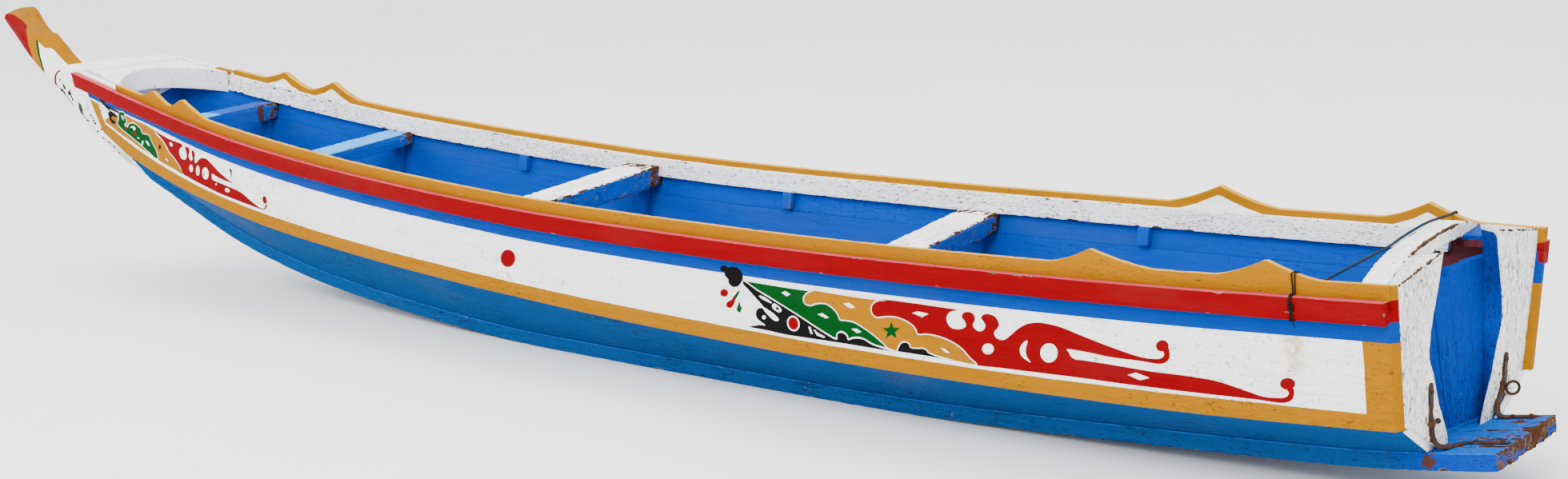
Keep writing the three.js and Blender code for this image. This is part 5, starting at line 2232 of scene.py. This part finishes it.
@dataclass(frozen=True)
class Stage:
    """The pale floor and the soft light."""

    lamps: tuple[Lamp, ...] = (
        Lamp("key", (-5.0, 9.0, 8.0), 7.0, 1320.0),
        Lamp("fill", (7.0, 8.0, 6.0), 7.0, 640.0),
        Lamp("top", (0.0, -3.0, 10.0), 9.0, 760.0),
    )
    sky: float = 2.25

    def build(self) -> None:
        """Makes the floor, the lamps and the sky."""
        n = Nodes("floor_finish")
        cloud = n.noise(0.6, 2)
        n.put(n.mix(n.ramp(cloud, 0.3, 0.7), colour_of(0.9), colour_of(0.93)), n.shader.inputs["Base Color"])
        n.shader.inputs["Roughness"].default_value = 0.9
        mesh = bpy.data.meshes.new("floor")
        r = 60.0
        mesh.from_pydata([(-r, -r, 0), (r, -r, 0), (r, r, 0), (-r, r, 0)], [], [(0, 1, 2, 3)])
        mesh.materials.append(n.material)
        floor = placed("floor", mesh)
        floor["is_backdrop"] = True
        for lamp in self.lamps:
            data = bpy.data.lights.new(lamp.name, "AREA")
            data.shape, data.size, data.energy = "DISK", lamp.size, lamp.power
            made = placed(lamp.name, data)
            made.location = lamp.at
            made.rotation_euler = (-Vector(lamp.at)).to_track_quat("-Z", "Y").to_euler()
        world = bpy.data.worlds.new("sky")
        world.use_nodes = True
        back = world.node_tree.nodes["Background"]
        back.inputs["Color"].default_value = (1.0, 1.0, 1.0, 1.0)
        back.inputs["Strength"].default_value = self.sky
        bpy.context.scene.world = world


# Painted ornament


class Ink(Enum):
    """Paints of the ornament, in the order of its materials."""

    WHITE = 0
    BLACK = 1
    RED = 2
    GREEN = 3
    YELLOW = 4
    BROWN = 5


@dataclass(frozen=True)
class Figure:
    """One painted figure: its paint, outline in drawing units, and whether it has a white outline."""

    ink: Ink
    outline: Outline
    edged: bool = False
    smooth: bool = True


def oval(x: float, y: float, wide: float, high: float, turned: float = 0.0) -> Outline:
    """An oval outline."""
    turn = math.radians(turned)
    points = []
    for i in range(10):
        a = 2 * math.pi * i / 10
        c, s = wide * math.cos(a), high * math.sin(a)
        points.append((x + c * math.cos(turn) - s * math.sin(turn), y + c * math.sin(turn) + s * math.cos(turn)))
    return tuple(points)


def star(x: float, y: float, radius: float) -> Outline:
    """A five-pointed star."""
    reach = lambda i: radius * (1.0 if i % 2 == 0 else 0.42)
    return tuple(
        (x + reach(i) * math.sin(math.pi * i / 5), y - reach(i) * math.cos(math.pi * i / 5)) for i in range(10)
    )


def shapes(ink: Ink, *outlines: Outline, edged: bool = False, smooth: bool = True) -> tuple[Figure, ...]:
    """Figures of one paint."""
    return tuple(Figure(ink, outline, edged, smooth) for outline in outlines)


def ovals(ink: Ink, *rows: Sequence[float]) -> tuple[Figure, ...]:
    """Ovals of one paint, each row with its middle, half widths and turn."""
    return shapes(ink, *(oval(*row) for row in rows))


@dataclass(frozen=True)
class Drawing:
    """Figures drawn on the side, over the photograph's pixels from an origin at a scale."""

    name: str
    origin: tuple[float, float]
    scale: float
    figures: tuple[Figure, ...]

    def outline(self, sight: Sight, figure: Figure) -> Array:
        """The figure's outline along the hull and below the gunwale."""
        (u, v), s = self.origin, self.scale
        return np.array([sight.on_side(u + x / s, v + y / s) for x, y in smoothed(figure)])


def smoothed(figure: Figure, pieces: int = 4) -> list[tuple[float, float]]:
    """A closed smooth curve through a figure's outline."""
    at = np.array(figure.outline, float)
    if not figure.smooth:
        return [tuple(p) for p in at]
    found = []
    for i in range(len(at)):
        p, q, r, s = (at[(i + k) % len(at)] for k in (-1, 0, 1, 2))
        for t in np.arange(pieces) / pieces:
            spline = 2 * q + (r - p) * t + (2 * p - 5 * q + 4 * r - s) * t**2 + (3 * q - p - 3 * r + s) * t**3
            found.append(tuple(spline / 2))
    return found


def inside(polygon: Array, points: Array) -> Array:
    """Which points lie inside a polygon."""
    hit = np.zeros(len(points), bool)
    x, y = points[:, 0], points[:, 1]
    for (ax, ay), (bx, by) in zip(polygon, np.roll(polygon, -1, axis=0)):
        crosses = (ay > y) != (by > y)
        if crosses.any():
            hit ^= crosses & (x < (bx - ax) * (y - ay) / (by - ay + 1e-12) + ax)
    return hit


def grown(polygon: Array, by: float) -> Array:
    """A polygon moved outward by a distance, or inward by a negative one."""
    area = 0.5 * np.sum(polygon[:, 0] * np.roll(polygon[:, 1], -1) - np.roll(polygon[:, 0], -1) * polygon[:, 1])
    way = np.roll(polygon, -1, axis=0) - np.roll(polygon, 1, axis=0)
    way /= np.linalg.norm(way, axis=1)[:, None] + 1e-9
    out = np.stack([way[:, 1], -way[:, 0]], 1) * math.copysign(1, area)
    return polygon + by * out


@dataclass
class Ornament:
    """The painted figures on both sides."""

    shop: Workshop
    sight: Sight
    lift: float = 0.5
    rim: float = 2.3
    grid: float = 28.0
    trace_grid: float = 1.6
    materials: list[Material] = field(default_factory=list)

    def paints(self) -> None:
        """Makes the ornament's paints."""
        wear = Wear(chips=0.12, edges=0.0, cracks=0.4, fade=0.04, grime=0.12, under=Paint.WHITE, rough=0.42)
        inks = {
            Ink.WHITE: Paint.WHITE,
            Ink.BLACK: Paint.BLACK,
            Ink.RED: Paint.RED,
            Ink.GREEN: Paint.GREEN,
            Ink.YELLOW: Paint.YELLOW,
            Ink.BROWN: Paint.DARK_WOOD,
        }
        self.materials = [
            Painted(f"ornament_{ink.name.lower()}", inks[ink], wear=wear, seed=61 + ink.value).build() for ink in Ink
        ]

    def trace(self, drawing: Drawing, targets: Sequence[str]) -> None:
        """Lays what is left of an older drawing where its points are seen on some pieces, and mirrors it."""
        trees = []
        for target in targets:
            mesh = bpy.data.objects[target].data
            polygons = [tuple(p.vertices) for p in mesh.polygons]
            trees.append(BVHTree.FromPolygons([v.co for v in mesh.vertices], polygons))
        origin, eye = np.array(drawing.origin), Vector(self.sight.at)
        layers = [(np.array(smoothed(f)) / drawing.scale + origin, f.ink.value) for f in drawing.figures]
        flat, faces, which = self._cut(layers, self.trace_grid)
        points, met = np.zeros((len(flat), 3)), np.zeros(len(flat), bool)
        for i, (u, v) in enumerate(flat):
            way = Vector(self.sight.ray(float(u), float(v))).normalized()
            hits = [hit for hit in (tree.ray_cast(eye, way) for tree in trees) if hit[0] is not None]
            if hits:
                at, normal = min(hits, key=lambda hit: hit[3])[:2]
                points[i], met[i] = to_source(np.array(at + normal * self.lift * MM)), True
        keep = met[faces].all(1)
        faces, which = faces[keep], which[keep]
        spans = np.ptp(points[faces], axis=1).max(1)
        faces, which = faces[spans < 60], which[spans < 60]
        used, back = np.unique(faces, return_inverse=True)
        faces = back.reshape(-1, 3)
        for side in Side:
            self._lay(drawing, side, points[used] * (1, side.value, 1), faces, which)

    def build(self, drawings: Sequence[Drawing]) -> None:
        """Paints every drawing on both sides."""
        self.paints()
        for drawing in drawings:
            points, faces, which = self._triangles(drawing)
            for side in Side:
                x, down = points[:, 0], points[:, 1]
                z = HULL.top(x) - down
                flat = np.stack([x, side.value * HULL.side_half(x, z), z], 1)
                rise = np.array([0.8 * waver(p, FACE_WAVE) for p in flat]) + self.lift
                flat[:, 1] += side.value * rise
                flat[:, 2] -= FLARE * rise
                self._lay(drawing, side, flat, faces, which)

    def _lay(self, drawing: Drawing, side: Side, points: Array, faces: Array, which: Array) -> None:
        """Makes a drawing's piece on one side, with its faces turned outward."""
        turn = faces if side is Side.STARBOARD else faces[:, ::-1]
        self.shop.decal(f"{drawing.name}_{side.word}", points, turn, which, self.materials, Slot.RED)

    def _triangles(self, drawing: Drawing) -> tuple[Array, Array, Array]:
        """Cuts a drawing into triangles, each with the paint of the figure on top."""
        layers: list[tuple[Array, int]] = []
        for figure in drawing.figures:
            shape = drawing.outline(self.sight, figure)
            if figure.edged:
                layers.append((grown(shape, self.rim), Ink.WHITE.value))
                shape = grown(shape, -self.rim)
            layers.append((shape, figure.ink.value))
        return self._cut(layers, self.grid)

    @staticmethod
    def _cut(layers: Sequence[tuple[Array, int]], grid: float) -> tuple[Array, Array, Array]:
        """Cuts shapes laid over each other into triangles.

        Args:
            layers: outlines with the numbers of their paints, from the lowest to the topmost.
            grid: step of the points laid inside them.

        Returns:
            The points, the triangles, and the paint number of the topmost shape at each triangle.
        """
        corners = np.concatenate([shape for shape, _ in layers])
        low, high = corners.min(0), corners.max(0)
        xs, ys = np.arange(low[0], high[0], grid), np.arange(low[1], high[1], grid)
        spots = np.array([(x, y) for x in xs for y in ys])
        verts = [Vector(p) for p in corners] + [Vector(p) for p in spots]
        edges, start = [], 0
        for shape, _ in layers:
            count = len(shape)
            edges += [(start + i, start + (i + 1) % count) for i in range(count)]
            start += count
        found, _, faces, *_ = delaunay_2d_cdt(verts, edges, [], 0, 1e-4)
        points, faces = np.array([tuple(p) for p in found]), np.array([f for f in faces if len(f) == 3])
        middles = points[faces].mean(1)
        which = np.full(len(faces), -1)
        for shape, ink in layers:
            which[inside(shape, middles)] = ink
        keep = which >= 0
        used, back = np.unique(faces[keep], return_inverse=True)
        return points[used], back.reshape(-1, 3), which[keep]


# Where two paints of the stern ornament meet
RED_EDGE = ((820, 225), (815, 250), (825, 275), (845, 288), (880, 285), (930, 285), (980, 300), (1020, 325),
    (1040, 350), (1050, 372), (1100, 372), (1160, 385), (1220, 410), (1270, 445), (1310, 490), (1342, 526))
GREEN_EDGE = ((510, 158), (490, 170), (478, 190), (480, 212), (495, 225), (515, 228), (540, 220), (570, 217),
    (600, 225), (630, 248), (650, 275), (662, 300), (690, 303), (730, 312), (770, 335), (810, 362), (850, 395),
    (892, 436))

STERN_ORNAMENT = Drawing(
    "stern_ornament", (885, 325), 4.0,
    (
        *shapes(Ink.RED, ((845, 205), (885, 200), (940, 205), (1040, 218), (1140, 233), (1248, 250), (1215, 258),
            (1195, 280), (1195, 310), (1215, 338), (1250, 347), (1280, 340), (1290, 325), (1283, 305), (1270, 290),
            (1272, 270), (1290, 260), (1312, 262), (1330, 275), (1335, 300), (1325, 320), (1330, 340), (1350, 355),
            (1370, 355), (1385, 340), (1385, 320), (1375, 305), (1365, 290), (1375, 275), (1400, 270), (1430, 280),
            (1448, 300), (1455, 325), (1445, 345), (1432, 360), (1435, 382), (1455, 398), (1475, 400), (1490, 395),
            (1515, 375), (1550, 345), (1590, 322), (1640, 313), (1690, 318), (1760, 335), (1860, 375), (1960, 415),
            (2060, 452), (2160, 485), (2220, 494), (2255, 494), (2274, 486), (2281, 472), (2278, 458), (2303, 440),
            (2309, 475), (2303, 500), (2278, 517), (2240, 519), (2160, 505), (2020, 488), (1910, 465), (1800, 446),
            (1806, 465), (1816, 485), (1842, 499), (1860, 500), (1980, 518), (2100, 538), (2220, 558), (2360, 575),
            (2460, 590), (2540, 605), (2620, 630), (2700, 658), (2780, 685), (2840, 690), (2875, 690), (2898, 680),
            (2904, 664), (2896, 650), (2925, 640), (2931, 675), (2915, 704), (2880, 715), (2840, 713), (2740, 698),
            (2560, 678), (2360, 655), (2200, 635), (2060, 618), (1860, 590), (1660, 565), (1460, 540),
            *RED_EDGE[::-1])),
        *ovals(Ink.RED, (2272, 430, 32, 29), (2898, 620, 38, 30)),
        *ovals(Ink.WHITE, (1400, 445, 29, 27)),
        *shapes(Ink.WHITE, ((1598, 405), (1575, 415), (1560, 445), (1568, 480), (1612, 513), (1595, 485), (1588, 450))),
        *ovals(Ink.WHITE, (1705, 465, 43, 48)),
        *shapes(Ink.WHITE, ((2098, 575), (2140, 564), (2208, 590), (2160, 602)),
            ((1022, 265), (1050, 257), (1103, 270), (1070, 286)), smooth=False),
        *shapes(Ink.YELLOW, ((528, 150), (600, 162), (700, 178), (800, 193), (885, 201), (845, 205), *RED_EDGE,
            (1240, 508), (1140, 490), (1040, 475), (950, 460), *GREEN_EDGE[::-1]), edged=True),
        *shapes(Ink.GREEN, ((190, 106), (240, 112), (300, 122), (400, 138), (500, 152), (525, 155), *GREEN_EDGE,
            (850, 430), (815, 415), (790, 400), (760, 388), (725, 388), (703, 395), (695, 375), (675, 360), (655, 362),
            (642, 392), (600, 372), (540, 335), (460, 282), (380, 232), (310, 188), (240, 145)), edged=True),
        *shapes(Ink.BLACK, ((172, 118), (184, 106), (240, 146), (310, 190), (380, 232), (460, 283), (540, 336),
            (600, 374), (642, 396), (645, 372), (660, 361), (682, 366), (697, 382), (702, 398), (725, 391), (755, 390),
            (785, 398), (810, 415), (850, 432), (940, 460), (860, 450), (740, 430), (620, 411), (520, 396), (400, 378),
            (290, 354), (198, 335), (262, 322), (284, 326), (250, 300), (238, 278), (240, 252), (255, 238), (275, 240),
            (286, 256), (300, 272), (322, 290), (336, 300), (300, 262), (250, 205), (205, 155)),
            ((945, 458), (955, 430), (965, 415), (985, 410), (1005, 418), (1015, 438), (1050, 442), (1075, 442),
            (1095, 452), (1105, 465), (1160, 485), (1228, 504), (1150, 492), (1050, 476), (960, 462)), edged=True),
        *shapes(Ink.WHITE, ((368, 165), (385, 155), (412, 172), (395, 182)), ((548, 272), (572, 266), (606, 288),
            (590, 292)), ((718, 344), (745, 344), (768, 360), (745, 366)), ((675, 218), (705, 214), (738, 238),
            (712, 242)), ((1162, 440), (1185, 446), (1212, 466), (1190, 464)), smooth=False),
        *shapes(Ink.GREEN, star(917, 355, 47), smooth=False),
        *ovals(Ink.WHITE, (427, 318, 31, 39, -15)),
        *ovals(Ink.RED, (427, 318, 25, 32, -15)),
        *shapes(Ink.WHITE, ((255, 180), (275, 182), (310, 205), (318, 217), (295, 208), (270, 195)),
            ((262, 226), (285, 240), (320, 262), (350, 290), (352, 303), (335, 305), (310, 285), (285, 255)),
            ((330, 218), (345, 225), (362, 240), (368, 255), (355, 263), (340, 255), (325, 243), (320, 228))),
        *ovals(Ink.BLACK, (347, 243, 10, 6, 40)),
        *ovals(Ink.WHITE, (280, 287, 9, 10)),
        *shapes(Ink.WHITE, ((502, 334), (512, 334), (524, 370), (514, 370)), ((528, 348), (540, 352), (545, 362),
            (585, 383), (583, 390), (546, 378)), smooth=False),
        *shapes(Ink.BLACK, ((62, 45), (68, 32), (85, 28), (100, 38), (125, 34), (150, 42), (168, 62), (175, 92),
            (165, 115), (150, 132), (125, 135), (105, 118), (100, 95), (85, 80), (82, 60), (70, 58))),
        *ovals(Ink.RED, (81, 165, 20, 19)),
        *shapes(Ink.GREEN, ((158, 150), (150, 178), (132, 203), (117, 202), (134, 176))),
        *shapes(Ink.RED, ((138, 186), (130, 222), (112, 241), (93, 232), (95, 212), (118, 199))),
        *shapes(Ink.GREEN, ((156, 203), (162, 226), (169, 243), (158, 264), (144, 247), (150, 226))),
    ),
)

BOW_ORNAMENT = Drawing(
    "bow_ornament", (109.9, 99.9), 6.04,
    (
        *shapes(Ink.YELLOW, ((150, 285), (130, 300), (130, 318), (180, 355), (240, 405), (320, 460), (400, 520),
            (480, 570), (560, 625), (640, 670), (718, 714), (690, 650), (650, 590), (612, 545), (585, 495), (560, 455),
            (520, 415), (485, 368), (420, 330), (350, 300), (290, 268), (240, 262), (190, 272)), edged=True),
        *shapes(Ink.RED, ((485, 372), (540, 405), (600, 440), (660, 465), (700, 480), (713, 492), (712, 505),
            (700, 515), (690, 530), (692, 560), (705, 590), (730, 603), (742, 590), (745, 560), (738, 530), (732, 512),
            (748, 505), (765, 520), (768, 545), (762, 565), (765, 590), (778, 610), (790, 600), (785, 570), (782, 545),
            (790, 530), (802, 540), (808, 565), (805, 590), (808, 615), (815, 628), (828, 615), (840, 600), (860, 590),
            (885, 592), (905, 605), (940, 640), (980, 685), (1030, 730), (1075, 765), (1097, 780), (1060, 770),
            (1000, 745), (960, 722), (938, 708), (936, 730), (945, 755), (1000, 780), (1060, 805), (1130, 835),
            (1170, 860), (1220, 905), (1270, 945), (1300, 965), (1325, 972), (1340, 960), (1340, 940), (1350, 940),
            (1350, 965), (1335, 979), (1308, 977), (1260, 960), (1180, 930), (1100, 900), (1000, 860), (900, 810),
            (820, 770), (760, 735), (722, 712), (695, 655), (655, 592), (617, 545), (590, 495), (565, 455),
            (530, 415))),
        *ovals(Ink.RED, (1335, 906, 16, 30, -10)),
        *ovals(Ink.WHITE, (628, 487, 10, 17, -30), (780, 668, 13, 28, -6), (830, 685, 13, 38), (888, 706, 24, 45, -5)),
        *ovals(Ink.RED, (875, 715, 5, 16, -25)),
        *ovals(Ink.WHITE, (1053, 833, 19, 14, 35), (969, 788, 5, 7)),
        *shapes(Ink.GREEN, ((232, 245), (262, 240), (285, 262), (272, 275), (292, 300), (292, 325), (278, 338),
            (292, 348), (318, 328), (345, 325), (375, 345), (400, 370), (410, 400), (430, 407), (452, 412), (468, 430),
            (480, 460), (500, 500), (520, 540), (531, 585), (522, 598), (500, 585), (470, 555), (440, 530), (410, 500),
            (380, 475), (350, 450), (320, 425), (290, 400), (265, 380), (240, 355), (222, 325), (230, 300), (232, 270)),
            edged=True),
        *shapes(Ink.BLACK, ((152, 248), (175, 238), (205, 255), (222, 275), (205, 282), (190, 275), (178, 290),
            (196, 305), (212, 318), (205, 332), (188, 330), (172, 312), (160, 285))),
        *ovals(Ink.WHITE, (262, 286, 4, 22, -25)),
        *shapes(Ink.WHITE, ((320, 362), (330, 350), (350, 352), (360, 370), (348, 382), (342, 368), (332, 360))),
        *ovals(Ink.WHITE, (382, 440, 9, 4, 35), (411, 478, 6, 20, 15), (452, 478, 6, 24, -35), (300, 350, 4, 12, 20)),
        *ovals(Ink.RED, (354, 406, 15, 8, 30), (290, 360, 8, 11)),
        *ovals(Ink.BROWN, (543, 508, 10, 19)),
        *ovals(Ink.WHITE, (596, 604, 16, 5, 40)),
        *shapes(Ink.BLACK, ((122, 185), (140, 188), (170, 205), (205, 222), (238, 242), (226, 250), (190, 232),
            (162, 220), (182, 240), (168, 240), (140, 212), (124, 198))),
        *shapes(Ink.BROWN, ((82, 125), (105, 132), (130, 138), (132, 165), (122, 188), (108, 185), (98, 160),
            (86, 142))),
        *ovals(Ink.BROWN, (93, 192, 5, 6), (98, 232, 4, 8)),
        *shapes(Ink.BROWN, ((1068, 675), (1080, 672), (1088, 695), (1084, 735), (1078, 735), (1078, 705))),
    ),
)

PROW_TRACES = Drawing(
    "prow_traces", (0, 0), 7.2,
    (
        *shapes(Ink.RED, ((535, 630), (545, 640), (520, 660), (508, 690), (508, 725), (512, 755), (530, 785),
            (515, 790), (495, 755), (490, 720), (492, 685), (505, 655))),
        *shapes(Ink.BROWN, ((545, 790), (560, 800), (590, 835), (605, 870), (592, 875), (568, 845), (550, 820))),
        *ovals(Ink.BLACK, (541, 720, 7, 12)),
        *shapes(Ink.GREEN, ((565, 750), (580, 765), (595, 800), (585, 805), (570, 785))),
        *ovals(Ink.GREEN, (628, 815, 9, 14)),
        *shapes(Ink.BLACK, ((610, 830), (630, 825), (655, 860), (660, 905), (650, 905), (640, 870), (618, 850))),
        *ovals(Ink.RED, (598, 880, 9, 10)),
        *shapes(Ink.BROWN, ((608, 880), (616, 876), (668, 954), (662, 962)), smooth=False),
        *shapes(Ink.BROWN, ((705, 920), (718, 930), (735, 980), (755, 1030), (780, 1068), (806, 1088), (798, 1096),
            (765, 1072), (738, 1035), (714, 985))),
        *shapes(Ink.GREEN, ((722, 930), (732, 945), (748, 1000), (740, 1002), (728, 965))),
        *ovals(Ink.BROWN, (784, 942, 5, 9), (792, 968, 5, 7), (784, 990, 4, 7), (818, 1036, 7, 13, -15),
            (832, 1062, 9, 12, -20), (846, 1088, 7, 12), (858, 1112, 10, 11), (882, 1184, 11, 7, 40),
            (912, 1166, 10, 8), (930, 1240, 9, 7, 40), (985, 1284, 12, 5, 35), (1028, 1322, 12, 5, 35),
            (1075, 1378, 13, 5, 40)),
    ),
)

MIDDLE_DOT = Drawing("middle_dot", (600, 290), 4.0, ovals(Ink.RED, (140, 132, 37, 44)))

TRACED = ("prow_finished", "keel_log_finished", "side_strake_fore_port_finished", "bottom_plank_fore_port_finished")


def main() -> None:
    """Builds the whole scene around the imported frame."""
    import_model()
    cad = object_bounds()
    sight = Sight()
    sight.build()
    Stage().build()
    shop = Workshop(np.array([list(corner) for corner in cad]))
    planking = Planking(shop)
    stern = Stern(shop)
    planking.build()
    Backbone(shop).build()
    Beams(shop, planking).build()
    stern.build()
    Foredeck(shop).build()
    Ironwork(shop).build()
    Cordage(shop, planking, stern).build()
    ornament = Ornament(shop, sight)
    ornament.build((STERN_ORNAMENT, BOW_ORNAMENT, MIDDLE_DOT))
    ornament.trace(PROW_TRACES, TRACED)
    for name, triangles in shop.made:
        LOG.info("%s: %d triangles", name, triangles)
    LOG.info("%d pieces, %d triangles", len(shop.made), sum(t for _, t in shop.made))


if __name__ == "__main__":
    main()
